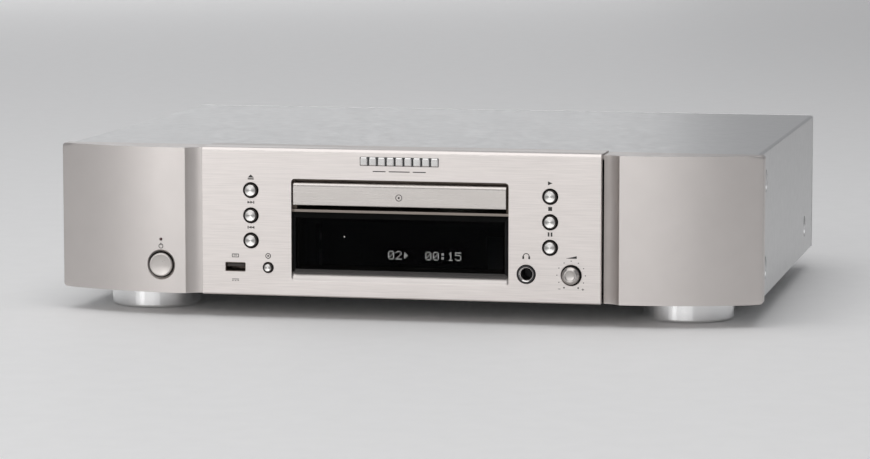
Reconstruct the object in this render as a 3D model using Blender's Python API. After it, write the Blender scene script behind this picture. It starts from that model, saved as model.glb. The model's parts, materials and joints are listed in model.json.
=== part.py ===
"""A full-width CD player: steel case, metal fascia, disc loader, controls and sockets.

Every size is in millimetres and is turned into metres as each mesh is made. X runs to the
player's own right as its front is looked at, Y runs backwards from the fascia's front face, and
Z runs up from the surface that the feet stand on. The assembly empty then moves the whole
player forwards by half its depth, so that the world origin is under the middle of its box.
"""

import math

import bmesh
import bpy
from mathutils import Matrix

MM = 0.001
GAP = 0.3  # left between pieces that touch

# Facets round a circle
FINE = 40
LARGE = 28
MEDIUM = 20
SMALL = 14
TINY = 10

# Overall size
WIDTH = 440.0
HEIGHT = 105.0
KNOB_FRONT = -4.8
SOCKET_BACK = 336.2
MIDDLE_Y = (KNOB_FRONT + SOCKET_BACK) / 2

# Case
BODY_BOTTOM = 14.0
COVER_HALF = 216.3
COVER_TOP = 104.0
COVER_FRONT = 28.0
COVER_BACK = 329.0
SHEET = 1.2
REAR_PANEL_Y = 325.0
COVER_SCREWS = ((62.0, 85.0), (62.0, 31.6), (283.0, 32.8))  # y, z on each side

# Fascia
FASCIA_HALF = 124.3
FASCIA_THICK = 5.0
FASCIA_DEPTH = 27.6
FASCIA_CHAMFER = 1.6
WINDOW_HALF = 67.7
WINDOW_LOW = 23.6
WINDOW_HIGH = 86.5
WINDOW_SLOPE = 4.2
CROSSBAR_LOW = 65.9
CROSSBAR_HIGH = 67.5

# Wings beside the fascia
WING_TOP = 104.2
WING_INNER = 135.2
WING_RADIUS = 185.0
WING_WALL = 3.0
COVE_INNER = 125.1
COVE_DEPTH = 5.0

# Controls
CONTROL_Z = 31.4
TRANSPORT_X = 93.2
TRANSPORT_Z = (78.9, 63.4, 47.9)
SOURCE_X = -82.4
USB_X = -103.2
PHONES_X = 78.6
LEVEL_X = 106.2
POWER_X = -151.1
LED_Z = 47.2
TRANSPORT_TRAVEL = 1.2
POWER_TRAVEL = 2.5
BOARD_FRONT = 17.5
SWITCH_FRONT = BOARD_FRONT - 1.4

# Feet
FOOT_RADIUS = 28.0
FOOT_X = 170.0
FOOT_FRONT_Y = 56.5
FOOT_REAR_Y = 285.0
PAD_RADIUS = 21.0
PAD_HEIGHT = 3.0

# Tray and loader
DISC_Y = 80.0
DISC_POCKET = 60.8
TRAY_HALF = 64.5
TRAY_BOTTOM = 71.5
TRAY_TOP = 76.5
TRAY_BACK = 195.0
TRAY_FRONT_HALF = 66.3
TRAY_FRONT_LOW = 70.5
TRAY_FRONT_HIGH = 85.0
SLOT_HALF = 20.0
FRAME_FRONT = 30.0
FRAME_BACK = 205.0
FRAME_INNER = 66.0
FRAME_OUTER = 72.0
DECK_TOP = 59.0

# Loading drive: a pinion under the tray meshes with a rack moulded along its right arm
MODULE = 1.5
PINION_TEETH = 22
PINION_RADIUS = MODULE * PINION_TEETH / 2
TOOTH_SHARE = 0.40  # tooth thickness over pitch, which leaves running clearance
RACK_LINE_X = 48.0
PINION_X = RACK_LINE_X - PINION_RADIUS
PINION_Y = 45.0
MOTOR_X = -20.0
BELT_Z = (62.3, 64.7)
BIG_PULLEY = 14.0
SMALL_PULLEY = 3.0

# Traverse that carries the spindle and the pickup
PIVOT_Y = 172.0
PIVOT_Z = 61.0
TRAVERSE_HALF = 38.0
TRAVERSE_FRONT = 63.0
CAM_PIN_X = -22.0
CAM_STROKE = 20.0
CAM_TILT = math.radians(5.5)
ROD_X = 20.0
ROD_Z = 66.5
SCREW_X = -30.0
PICKUP_START = 94.0

# Rear sockets, as x, z where there is a pair
JACK_RADIUS = 4.4
ANALOG_JACKS = ((176.0, 68.0), (176.0, 44.0))
DIGITAL_Z = 56.0
COAXIAL_X = 138.0
OPTICAL_X = 116.0
REMOTE_X = 66.0
REMOTE_Z = (66.0, 46.0)
SWITCH_X = 42.0
INLET_X = -172.0
INLET_Z = 48.0
REMOTE_JACKS = ((REMOTE_X, REMOTE_Z[0]), (REMOTE_X, REMOTE_Z[1]))
ALL_JACKS = ANALOG_JACKS + ((COAXIAL_X, DIGITAL_Z),) + REMOTE_JACKS

COLOURS = {
    "champagne_metal": ((0.74, 0.70, 0.67), 0.32, 0.9),
    "champagne_plastic": ((0.60, 0.56, 0.53), 0.42, 0.3),
    "silver_paint": ((0.58, 0.58, 0.58), 0.45, 0.4),
    "polished_metal": ((0.80, 0.80, 0.80), 0.15, 1.0),
    "zinc_steel": ((0.55, 0.56, 0.56), 0.40, 0.9),
    "black_plastic": ((0.02, 0.02, 0.02), 0.45, 0.0),
    "gloss_black": ((0.01, 0.01, 0.01), 0.10, 0.0),
    "smoked_acrylic": ((0.02, 0.02, 0.025), 0.05, 0.0),
    "circuit_board": ((0.05, 0.20, 0.09), 0.50, 0.0),
    "rubber": ((0.03, 0.03, 0.03), 0.80, 0.0),
    "white_plastic": ((0.75, 0.75, 0.72), 0.45, 0.0),
    "red_lens": ((0.35, 0.05, 0.04), 0.20, 0.0),
}

AXIS_TURN = {
    "X": Matrix.Rotation(math.radians(90), 4, "Y"),
    "Y": Matrix.Rotation(math.radians(-90), 4, "X"),
    "Z": Matrix.Identity(4),
}


# ---------------------------------------------------------------- scene and objects


def clear_scene():
    for item in list(bpy.data.objects):
        bpy.data.objects.remove(item)


def make_finish(name):
    colour, roughness, metallic = COLOURS[name]
    finish = bpy.data.materials.new(name)
    finish.use_nodes = True
    shader = finish.node_tree.nodes["Principled BSDF"]
    shader.inputs["Base Color"].default_value = (*colour, 1.0)
    shader.inputs["Roughness"].default_value = roughness
    shader.inputs["Metallic"].default_value = metallic
    return finish


def make_assembly():
    empty = bpy.data.objects.new("cd_player", None)
    empty.location = (0.0, -MIDDLE_Y * MM, 0.0)
    bpy.context.scene.collection.objects.link(empty)
    return empty


def link_mesh(name, shape, at):
    """Turn a millimetre bmesh into a metre mesh object whose origin is at a point of the player."""
    bmesh.ops.recalc_face_normals(shape, faces=shape.faces)
    shape.transform(Matrix.Scale(MM, 4))
    mesh = bpy.data.meshes.new(name)
    shape.to_mesh(mesh)
    shape.free()
    made = bpy.data.objects.new(name, mesh)
    made.location = [value * MM for value in at]
    made.parent = assembly
    bpy.context.scene.collection.objects.link(made)
    return made


def piece(name, finish, shape, at=(0.0, 0.0, 0.0)):
    made = link_mesh(name, shape, at)
    own_finish = finishes[finish].copy()
    own_finish.name = name
    made.data.materials.append(own_finish)
    made.data.shade_smooth()
    made.data.set_sharp_from_angle(angle=math.radians(35))
    return made


def add_boolean(target, operation, shape, at):
    helper = link_mesh(f"{target.name}_{operation.lower()}_{len(target.modifiers)}", shape, at)
    helper.hide_render = True
    helper.display_type = "WIRE"
    modifier = target.modifiers.new(operation.title(), "BOOLEAN")
    modifier.operation = operation
    modifier.object = helper


def carve(target, *shapes, at=(0.0, 0.0, 0.0)):
    add_boolean(target, "DIFFERENCE", together(*shapes), at)


def fuse(target, *shapes, at=(0.0, 0.0, 0.0)):
    add_boolean(target, "UNION", together(*shapes), at)


# ---------------------------------------------------------------- shapes, as bmeshes in millimetres


def together(*shapes):
    """Join shapes that don't overlap one another into one bmesh."""
    whole = bmesh.new()
    for shape in shapes:
        part = bpy.data.meshes.new("part")
        bmesh.ops.recalc_face_normals(shape, faces=shape.faces)
        shape.to_mesh(part)
        shape.free()
        whole.from_mesh(part)
        bpy.data.meshes.remove(part)
    return whole


def box(x_range, y_range, z_range):
    shape = bmesh.new()
    bmesh.ops.create_cube(shape, size=1.0)
    for vert in shape.verts:
        for axis, (low, high) in enumerate((x_range, y_range, z_range)):
            vert.co[axis] = high if vert.co[axis] > 0 else low
    return shape


def prism(outline, axis, low, high):
    """Extrude an outline along an axis; its points are (y, z), (x, z) or (x, y) pairs."""
    shape = bmesh.new()
    if axis == "X":
        points = [(low, a, b) for a, b in outline]
    elif axis == "Y":
        points = [(a, low, b) for a, b in outline]
    else:
        points = [(a, b, low) for a, b in outline]
    face = shape.faces.new([shape.verts.new(point) for point in points])
    raised = bmesh.ops.extrude_face_region(shape, geom=[face])["geom"]
    moved_verts = [item for item in raised if isinstance(item, bmesh.types.BMVert)]
    step = [high - low if axis == name else 0.0 for name in "XYZ"]
    bmesh.ops.translate(shape, verts=moved_verts, vec=step)
    return shape


def turned(profile, axis="Z", steps=32, closed=False, at=(0.0, 0.0, 0.0)):
    """Spin a profile of (radius, distance along the axis) points through a full turn."""
    shape = bmesh.new()
    verts = [shape.verts.new((radius, 0.0, along)) for radius, along in profile]
    pairs = list(zip(verts, verts[1:]))
    if closed:
        pairs.append((verts[-1], verts[0]))
    edges = [shape.edges.new(pair) for pair in pairs]
    bmesh.ops.spin(
        shape,
        geom=verts + edges,
        cent=(0, 0, 0),
        axis=(0, 0, 1),
        angle=math.tau,
        steps=steps,
        use_merge=True,
    )
    bmesh.ops.remove_doubles(shape, verts=shape.verts, dist=0.001)
    shape.transform(Matrix.Translation(at) @ AXIS_TURN[axis])
    return shape


def rod(radius, low, high, axis="Z", steps=24, at=(0.0, 0.0, 0.0)):
    return turned([(0, low), (radius, low), (radius, high), (0, high)], axis, steps, at=at)


def arc(centre, radius, start, end, steps):
    """Points on an arc, with angles in degrees."""
    points = []
    for index in range(steps + 1):
        angle = math.radians(start + (end - start) * index / steps)
        x = centre[0] + radius * math.cos(angle)
        y = centre[1] + radius * math.sin(angle)
        points.append((x, y))
    return points


# ---------------------------------------------------------------- case


def make_chassis_base():
    inner = COVER_HALF - SHEET - 0.5
    low, high = BODY_BOTTOM + 0.2, BODY_BOTTOM + 0.2 + SHEET
    front, back = FRAME_FRONT, REAR_PANEL_Y - GAP
    base = piece("chassis_base", "zinc_steel", box((-inner, inner), (front, back), (low, high)))
    lip_top = high + 14.0
    for side in (-1, 1):
        edges = sorted((side * inner, side * (inner - SHEET)))
        fuse(base, box(edges, (front, back), (low, lip_top)))
    fuse(base, box((-inner, inner), (front, front + SHEET), (low, lip_top - 2.0)))
    slots = []
    for column in range(6):
        for side in (-1, 1):
            x = side * (95.0 + 14.0 * column)
            slots.append(box((x - 2.0, x + 2.0), (225.0, 262.0), (low - 1, high + 1)))
    carve(base, *slots)


def make_top_cover():
    low = BODY_BOTTOM + 0.2
    bend = 1.6
    outline = [(-COVER_HALF, low), (-COVER_HALF, COVER_TOP - bend)]
    outline += arc((-COVER_HALF + bend, COVER_TOP - bend), bend, 180, 90, 3)[1:]
    outline += arc((COVER_HALF - bend, COVER_TOP - bend), bend, 90, 0, 3)
    outline += [(COVER_HALF, low), (COVER_HALF - SHEET, low)]
    inner_top = COVER_TOP - SHEET
    outline += [(COVER_HALF - SHEET, inner_top), (-COVER_HALF + SHEET, inner_top)]
    outline += [(-COVER_HALF + SHEET, low)]
    cover = piece("top_cover", "silver_paint", prism(outline, "Y", COVER_FRONT, COVER_BACK))
    reach = COVER_HALF + 5.0
    for y, z in COVER_SCREWS:
        carve(cover, rod(1.8, -reach, reach, "X", TINY, at=(0.0, y, z)))


def make_rear_panel():
    half = COVER_HALF - SHEET - 0.4
    panel_y = (REAR_PANEL_Y, REAR_PANEL_Y + SHEET)
    panel_z = (BODY_BOTTOM + 0.2, COVER_TOP - SHEET - 0.4)
    panel = piece("rear_panel", "black_plastic", box((-half, half), panel_y, panel_z))
    through = (REAR_PANEL_Y - 2, REAR_PANEL_Y + SHEET + 2)
    holes = [rod(JACK_RADIUS + 0.4, *through, "Y", SMALL, at=(x, 0, z)) for x, z in ALL_JACKS]
    holes.append(box((OPTICAL_X - 5.4, OPTICAL_X + 5.4), through, (DIGITAL_Z - 5.4, DIGITAL_Z + 5.4)))
    switch = (SWITCH_X - 3.4, SWITCH_X + 3.4)
    holes.append(box(switch, through, (REMOTE_Z[1] - 2.4, REMOTE_Z[1] + 2.4)))
    inlet = (INLET_X - 13.4, INLET_X + 13.4)
    holes.append(box(inlet, through, (INLET_Z - 9.4, INLET_Z + 9.4)))
    for column in range(8):
        x = -70.0 + 12.0 * column
        holes.append(box((x - 2.0, x + 2.0), through, (72.0, 92.0)))
    carve(panel, *holes)


def make_feet():
    """Four round feet, each with a rubber pad set into its underside."""
    rows = (("front", FOOT_FRONT_Y, "polished_metal"), ("rear", FOOT_REAR_Y, "black_plastic"))
    top = BODY_BOTTOM - 0.1
    recess = PAD_HEIGHT + GAP
    profile = [(0, top), (FOOT_RADIUS, top), (FOOT_RADIUS, 1.4), (FOOT_RADIUS - 1.0, 0.4)]
    profile += [(PAD_RADIUS + 0.4, 0.4), (PAD_RADIUS + 0.4, recess), (0, recess)]
    for end, y, finish in rows:
        for side, name in ((-1, "left"), (1, "right")):
            at = (side * FOOT_X, y, 0.0)
            piece(f"foot_{end}_{name}", finish, turned(profile, steps=LARGE), at)
            pad = rod(PAD_RADIUS, 0.0, PAD_HEIGHT, steps=MEDIUM)
            piece(f"foot_pad_{end}_{name}", "rubber", pad, at)


# ---------------------------------------------------------------- front panel


def make_fascia():
    top, low = HEIGHT, BODY_BOTTOM
    flange_low, flange_high = low + 2.5, top - 3.0
    outline = [(FASCIA_CHAMFER, top), (FASCIA_DEPTH, top), (FASCIA_DEPTH, flange_high)]
    outline += [(FASCIA_THICK, flange_high), (FASCIA_THICK, flange_low), (FASCIA_DEPTH, flange_low)]
    outline += [(FASCIA_DEPTH, low), (0.6, low), (0.0, low + 0.6), (0.0, top - FASCIA_CHAMFER)]
    fascia = piece("fascia_plate", "champagne_metal", prism(outline, "X", -FASCIA_HALF, FASCIA_HALF))
    rise = WINDOW_SLOPE / FASCIA_THICK
    before, behind = -1.0, FASCIA_THICK + 0.5
    window = [(before, WINDOW_LOW + before * rise), (behind, WINDOW_LOW + behind * rise)]
    window += [(behind, WINDOW_HIGH), (before, WINDOW_HIGH)]
    through = (-1.0, FASCIA_THICK + 1.0)
    holes = [prism(window, "X", -WINDOW_HALF, WINDOW_HALF)]
    for x in (-TRANSPORT_X, TRANSPORT_X):
        holes += [rod(4.75, *through, "Y", SMALL, at=(x, 0, z)) for z in TRANSPORT_Z]
    holes.append(rod(3.5, *through, "Y", SMALL, at=(SOURCE_X, 0, CONTROL_Z)))
    holes.append(rod(5.7, *through, "Y", MEDIUM, at=(PHONES_X, 0, CONTROL_Z)))
    holes.append(rod(6.0, *through, "Y", MEDIUM, at=(LEVEL_X, 0, CONTROL_Z)))
    holes.append(box((USB_X - 6.6, USB_X + 6.6), through, (CONTROL_Z - 2.9, CONTROL_Z + 2.9)))
    carve(fascia, *holes)
    reach = WINDOW_HALF + 1.0
    fuse(fascia, box((-reach, reach), (3.5, FASCIA_THICK), (CROSSBAR_LOW, CROSSBAR_HIGH)))


def wing_face(offset, start, end, steps):
    """Points along the wing's bowed front face, moved back by an offset."""
    points = []
    for index in range(steps + 1):
        x = start + (end - start) * index / steps
        points.append((x, 0.6 + offset + (x - WING_INNER) ** 2 / (2 * WING_RADIUS)))
    return points


def make_wing(side, name):
    """The bowed end moulding, with the cove that separates it from the fascia."""
    back = COVER_FRONT - 0.4
    half = WIDTH / 2
    outer = [(COVE_INNER, back), (COVE_INNER, COVE_DEPTH)]
    outer += arc((129.6, COVE_DEPTH - 5.0), 5.0, 90, 12, 4)
    outer += wing_face(0.0, WING_INNER + 0.6, half - 1.6, 12)
    outer += [(half - 0.4, 20.6), (half, 22.0), (half, back)]
    cavity = [(COVE_INNER - 1.0, 12.5), (COVE_INNER + WING_WALL, 12.5)]
    cavity += [(COVE_INNER + WING_WALL, COVE_DEPTH + WING_WALL)]
    cavity += [(131.5, COVE_DEPTH + WING_WALL - 0.2)]
    cavity += wing_face(WING_WALL + 0.4, WING_INNER + 2.0, half - WING_WALL, 8)
    cavity += [(half - WING_WALL, back + 1.0), (COVE_INNER - 1.0, back + 1.0)]
    outer = [(side * x, y) for x, y in outer]
    cavity = [(side * x, y) for x, y in cavity]
    wing = piece(f"wing_{name}", "champagne_plastic", prism(outer, "Z", BODY_BOTTOM, WING_TOP))
    carve(wing, prism(cavity, "Z", BODY_BOTTOM + 2.5, WING_TOP - 2.5))
    if name == "left":
        carve(
            wing,
            rod(7.8, -5.0, 10.0, "Y", LARGE, at=(POWER_X, 0, CONTROL_Z)),
            rod(1.2, -5.0, 10.0, "Y", TINY, at=(POWER_X, 0, LED_Z)),
        )


def make_front_frame():
    low, high = BODY_BOTTOM + 2.9, WING_TOP - 2.9
    plate_y = (24.4, 27.3)
    frame = piece("front_frame", "black_plastic", box((-216.0, 216.0), plate_y, (low, high)))
    carve(
        frame,
        box((-71.6, 71.6), (20.0, 30.0), (low + 3.0, 91.0)),
        box((-118.0, -98.0), (20.0, 30.0), (58.0, 70.0)),
        box((98.0, 118.0), (20.0, 30.0), (58.0, 70.0)),
    )
    posts = []
    for side, xs in ((-1, (75.5, 161.0)), (1, (75.5, 116.0))):
        for x in xs:
            for z in (23.0, 88.0):
                posts.append(rod(2.5, BOARD_FRONT + 1.6 + GAP, 24.6, "Y", TINY, at=(side * x, 0, z)))
    fuse(frame, *posts)


def make_window_bezel():
    """The black moulding behind the window, with the tray's slot above the display's opening."""
    front, back = FASCIA_THICK + GAP, 24.0
    bezel = piece("window_bezel", "gloss_black", box((-71.0, 71.0), (front, back), (21.0, 90.0)))
    carve(
        bezel,
        box((-64.0, 64.0), (0.0, back + 1.0), (31.0, 62.0)),
        box((-65.3, 65.3), (0.0, back + 1.0), (CROSSBAR_HIGH, 84.2)),
    )


def make_display():
    """The display's window, a block with sloping edges, and the display behind it."""
    lens = bmesh.new()
    face_y, rim_y = 0.9, 3.3
    face = [(-65.4, 31.0), (65.4, 31.0), (65.4, 62.8), (-65.4, 62.8)]
    rim = [(-67.4, 28.0), (67.4, 28.0), (67.4, 65.6), (-67.4, 65.6)]
    loops = []
    for outline, y in ((face, face_y), (rim, rim_y), (rim, FASCIA_THICK)):
        loops.append([lens.verts.new((x, y, z)) for x, z in outline])
    lens.faces.new(loops[0])
    lens.faces.new(loops[-1][::-1])
    for near, far in zip(loops, loops[1:]):
        for index in range(4):
            after = (index + 1) % 4
            lens.faces.new((near[index], near[after], far[after], far[index]))
    lens = piece("display_lens", "smoked_acrylic", lens)
    fuse(lens, box((-63.6, 63.6), (FASCIA_THICK - 0.5, 8.4), (31.4, 61.6)))
    module = piece("display_module", "circuit_board", box((-52.0, 52.0), (15.0, 16.6), (31.8, 61.2)))
    fuse(module, box((-46.0, 46.0), (11.4, 15.1), (33.0, 60.0)))
    fuse(module, box((-20.0, 20.0), (16.5, 19.0), (36.0, 44.0)))


def make_nameplate():
    at = (0.0, -GAP, 98.1)
    plate = box((-24.3, 24.3), (-0.9, 0.0), (-2.5, 2.5))
    piece("nameplate", "polished_metal", plate, at)


def push_button(name, x, z, cap, flange):
    """A turned cap with a retaining flange behind the fascia and a stem towards its switch."""
    profile = [(0, -2.0), (cap - 0.5, -2.0), (cap, -1.5), (cap, FASCIA_THICK + 0.4)]
    stem_end = SWITCH_FRONT - GAP - TRANSPORT_TRAVEL
    profile += [(flange, FASCIA_THICK + 0.4), (flange, 7.0), (2.0, 7.0), (2.0, stem_end), (0, stem_end)]
    piece(name, "polished_metal", turned(profile, "Y", SMALL), (x, 0.0, z))


def make_buttons():
    for name, z in zip(("eject_button", "next_button", "previous_button"), TRANSPORT_Z):
        push_button(name, -TRANSPORT_X, z, 4.0, 6.0)
    for name, z in zip(("play_button", "stop_button", "pause_button"), TRANSPORT_Z):
        push_button(name, TRANSPORT_X, z, 4.0, 6.0)
    push_button("source_button", SOURCE_X, CONTROL_Z, 2.8, 4.5)
    stem_end = SWITCH_FRONT - GAP - POWER_TRAVEL
    profile = [(0, -0.4), (4.5, -0.2), (6.9, 0.5), (6.9, 6.4), (9.0, 6.4), (9.0, 7.6)]
    profile += [(2.5, 7.6), (2.5, stem_end), (0, stem_end)]
    piece("power_button", "champagne_metal", turned(profile, "Y", MEDIUM), (POWER_X, 0.0, CONTROL_Z))
    lamp = rod(0.85, 0.9, 15.6, "Y", TINY)
    piece("power_led", "red_lens", lamp, (POWER_X, 0.0, LED_Z))


def make_level_control():
    at = (LEVEL_X, 0.0, CONTROL_Z)
    profile = [(0, -4.2), (3.2, -4.4), (4.7, KNOB_FRONT), (5.5, -4.1), (5.5, 3.6)]
    profile += [(3.0, 3.6), (3.0, 15.0), (0, 15.0)]
    piece("level_knob", "champagne_metal", turned(profile, "Y", MEDIUM), at)
    back = BOARD_FRONT - GAP
    bush = [(3.3, 7.0), (4.6, 7.0), (4.6, 10.0), (8.0, 10.0), (8.0, back), (0, back), (0, 15.6), (3.3, 15.6)]
    piece("level_pot", "zinc_steel", turned(bush, "Y", SMALL, closed=True), at)


def make_front_sockets():
    back = BOARD_FRONT - GAP
    profile = [(3.5, -1.0), (4.9, -1.0), (5.4, -0.5), (5.4, 8.0), (7.0, 8.0), (7.0, back), (0, back)]
    profile += [(0, 15.4), (3.5, 15.4)]
    jack = turned(profile, "Y", MEDIUM, closed=True)
    piece("headphone_jack", "black_plastic", jack, (PHONES_X, 0.0, CONTROL_Z))
    shell = box((-6.4, 6.4), (0.8, back), (-2.7, 2.7))
    usb = piece("usb_socket", "zinc_steel", shell, (USB_X, 0.0, CONTROL_Z))
    at = (USB_X, 0.0, CONTROL_Z)
    carve(usb, box((-6.0, 6.0), (0.0, 3.0), (-2.3, 2.3)), at=at)
    carve(usb, box((-6.0, 6.0), (2.9, 14.0), (-2.3, 0.2)), at=at)


def make_button_boards():
    board_y = (BOARD_FRONT, BOARD_FRONT + 1.6)
    left = piece("left_button_board", "circuit_board", box((-166.0, -72.5), board_y, (19.5, 92.0)))
    right = piece("right_button_board", "circuit_board", box((72.5, 120.0), board_y, (19.5, 92.0)))
    switch_y = (SWITCH_FRONT, BOARD_FRONT + 0.1)
    for board, x in ((left, -TRANSPORT_X), (right, TRANSPORT_X)):
        fuse(board, *[box((x - 3, x + 3), switch_y, (z - 3, z + 3)) for z in TRANSPORT_Z])
    source = (SOURCE_X - 3, SOURCE_X + 3)
    power = (POWER_X - 5, POWER_X + 5)
    fuse(
        left,
        box(source, switch_y, (CONTROL_Z - 3, CONTROL_Z + 3)),
        box(power, switch_y, (CONTROL_Z - 5, CONTROL_Z + 5)),
    )


# ---------------------------------------------------------------- tray and its drive


def gear_outline(teeth, pitch_radius):
    """Outline of a spur gear with straight-flanked teeth and a gap pointing along +X."""
    half = TOOTH_SHARE * math.pi / teeth
    slope = math.tan(math.radians(20)) / pitch_radius
    points = []
    for tooth in range(teeth):
        middle = math.tau * (tooth + 0.5) / teeth
        heights = (-1.15 * MODULE, 0.0, 0.9 * MODULE)
        flank = [(pitch_radius + height, half - height * slope) for height in heights]
        for radius, angle in flank:
            points.append((radius * math.cos(middle - angle), radius * math.sin(middle - angle)))
        for radius, angle in reversed(flank):
            points.append((radius * math.cos(middle + angle), radius * math.sin(middle + angle)))
    return points


def rack_outline(first, count, back_x):
    """Outline in X and Y of a rack whose teeth point towards -X."""
    pitch = math.pi * MODULE
    half = TOOTH_SHARE * pitch / 2
    slope = math.tan(math.radians(20))
    root, tip = 1.15 * MODULE, 0.9 * MODULE
    points = []
    for tooth in range(count):
        y = first + tooth * pitch
        points.append((RACK_LINE_X + root, y - half - root * slope))
        points.append((RACK_LINE_X - tip, y - half + tip * slope))
        points.append((RACK_LINE_X - tip, y + half - tip * slope))
        points.append((RACK_LINE_X + root, y + half + root * slope))
    points += [(back_x, points[-1][1]), (back_x, points[0][1])]
    return points


def make_tray():
    start = FASCIA_THICK + 0.2
    plate = box((-TRAY_HALF, TRAY_HALF), (start, TRAY_BACK), (TRAY_BOTTOM, TRAY_TOP))
    tray = piece("disc_tray", "black_plastic", plate)
    rims = []
    for side in (-1, 1):
        edge = sorted((side * TRAY_HALF, side * (TRAY_HALF - 2.2)))
        rims.append(box(edge, (start, TRAY_BACK), (TRAY_TOP - 0.5, TRAY_TOP + 2.5)))
    rims.append(box((-62.2, 62.2), (start, start + 3.0), (TRAY_TOP - 0.5, 83.4)))
    fuse(tray, *rims)
    carve(tray, rod(DISC_POCKET, TRAY_TOP - 2.4, TRAY_TOP + 9.0, steps=FINE, at=(0, DISC_Y, 0)))
    carve(tray, rod(41.0, TRAY_TOP - 3.4, TRAY_TOP + 9.0, steps=LARGE, at=(0, DISC_Y, 0)))
    slot = arc((0.0, DISC_Y), SLOT_HALF, 180, 360, 12)
    slot += [(SLOT_HALF, TRAY_BACK + 5), (-SLOT_HALF, TRAY_BACK + 5)]
    carve(tray, prism(slot, "Z", TRAY_BOTTOM - 5, TRAY_TOP + 9))
    rack = rack_outline(PINION_Y, 32, RACK_LINE_X + 6.0)
    fuse(tray, prism(rack, "Z", TRAY_BOTTOM - 3.6, TRAY_BOTTOM + 0.5))
    at = (0.0, 0.0, TRAY_FRONT_LOW)
    height = TRAY_FRONT_HIGH - TRAY_FRONT_LOW
    outline = [(0.0, 0.0), (FASCIA_THICK - 0.1, 0.0), (FASCIA_THICK - 0.1, height), (1.6, height)]
    outline += [(0.2, height - 0.5), (-0.8, height - 1.5), (-1.2, height - 2.8), (-1.2, 0.8), (-0.8, 0.2)]
    front = prism(outline, "X", -TRAY_FRONT_HALF, TRAY_FRONT_HALF)
    piece("tray_front", "champagne_metal", front, at)


def make_loader_frame():
    walls = box((-FRAME_OUTER, FRAME_OUTER), (FRAME_FRONT, FRAME_BACK), (DECK_TOP - 3.0, 88.0))
    frame = piece("loader_frame", "black_plastic", walls)
    inside = (-FRAME_INNER, FRAME_INNER)
    carve(frame, box(inside, (FRAME_FRONT - 1, FRAME_BACK + 1), (DECK_TOP, 89.0)))
    carve(frame, box((-60.0, 60.0), (55.0, 185.0), (DECK_TOP - 4.0, DECK_TOP + 1.0)))
    carve(frame, rod(3.6, DECK_TOP - 4, DECK_TOP + 1, steps=SMALL, at=(MOTOR_X, PINION_Y, 0)))
    for side in (-1, 1):
        ledge = sorted((side * 61.0, side * (FRAME_INNER + 0.1)))
        guide = sorted((side * 62.9, side * (FRAME_INNER + 0.1)))
        ear = sorted((side * 40.6, side * 45.6))
        fuse(
            frame,
            box(ledge, (FRAME_FRONT, FRAME_BACK), (TRAY_BOTTOM - 3.4, TRAY_BOTTOM - 0.4)),
            box(guide, (60.0, FRAME_BACK), (TRAY_TOP + 2.9, TRAY_TOP + 4.5)),
            box(ear, (166.0, 188.0), (DECK_TOP - 4.5, 66.0)),
        )
        legs = []
        for y in (FRAME_FRONT + 5.0, FRAME_BACK - 5.0):
            low = BODY_BOTTOM + 0.2 + SHEET + GAP
            leg = sorted((side * 60.0, side * FRAME_OUTER))
            legs.append(box(leg, (y - 5.0 + 2.0, y + 5.0), (low, DECK_TOP - 2.0)))
        fuse(frame, *legs)
    reach = TRAVERSE_HALF + 12.0
    carve(frame, rod(2.35, -reach, reach, "X", SMALL, at=(0.0, PIVOT_Y, PIVOT_Z)))
    fuse(frame, rod(2.0, DECK_TOP - 1.0, 70.4, steps=SMALL, at=(PINION_X, PINION_Y, 0)))


def make_loading_drive():
    at = (PINION_X, PINION_Y, 0.0)
    groove, flange = BIG_PULLEY, BIG_PULLEY + 1.4
    profile = [(2.3, 59.6), (flange, 59.6), (flange, 61.6), (groove, 61.8), (groove, 65.2)]
    profile += [(flange, 65.4), (flange, 67.2), (2.3, 67.2)]
    gear = piece("loading_gear", "white_plastic", turned(profile, steps=MEDIUM, closed=True), at)
    teeth = prism(gear_outline(PINION_TEETH, PINION_RADIUS), "Z", 67.1, 70.9)
    fuse(gear, teeth, at=at)
    carve(gear, rod(2.3, 60.0, 72.0, steps=MEDIUM), at=at)
    motor_at = (MOTOR_X, PINION_Y, 0.0)
    profile = [(0, 33.0), (3.0, 33.0), (3.0, 35.0), (10.5, 35.0), (10.5, DECK_TOP - 3.3), (0, DECK_TOP - 3.3)]
    piece("loading_motor", "zinc_steel", turned(profile, steps=MEDIUM), motor_at)
    small = SMALL_PULLEY
    profile = [(0, 56.1), (1.0, 56.1), (1.0, 60.2), (small + 1.2, 60.2), (small + 1.2, 61.6)]
    profile += [(small, 61.8), (small, 65.2), (small + 1.2, 65.4), (small + 1.2, 66.6), (0, 66.6)]
    piece("motor_pulley", "white_plastic", turned(profile, steps=SMALL), motor_at)
    make_belt()


def belt_outline(offset):
    """Outline round both pulleys, at an offset outside their grooves."""
    big, small = BIG_PULLEY + offset, SMALL_PULLEY + offset
    span = PINION_X - MOTOR_X
    lean = math.degrees(math.asin((big - small) / span))
    points = arc((PINION_X, PINION_Y), big, -90 - lean, 90 + lean, 20)
    points += arc((MOTOR_X, PINION_Y), small, 90 + lean, 270 - lean, 8)
    return points


def make_belt():
    belt = piece("loading_belt", "rubber", prism(belt_outline(1.3), "Z", *BELT_Z))
    carve(belt, prism(belt_outline(0.3), "Z", BELT_Z[0] - 1, BELT_Z[1] + 1))


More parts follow.
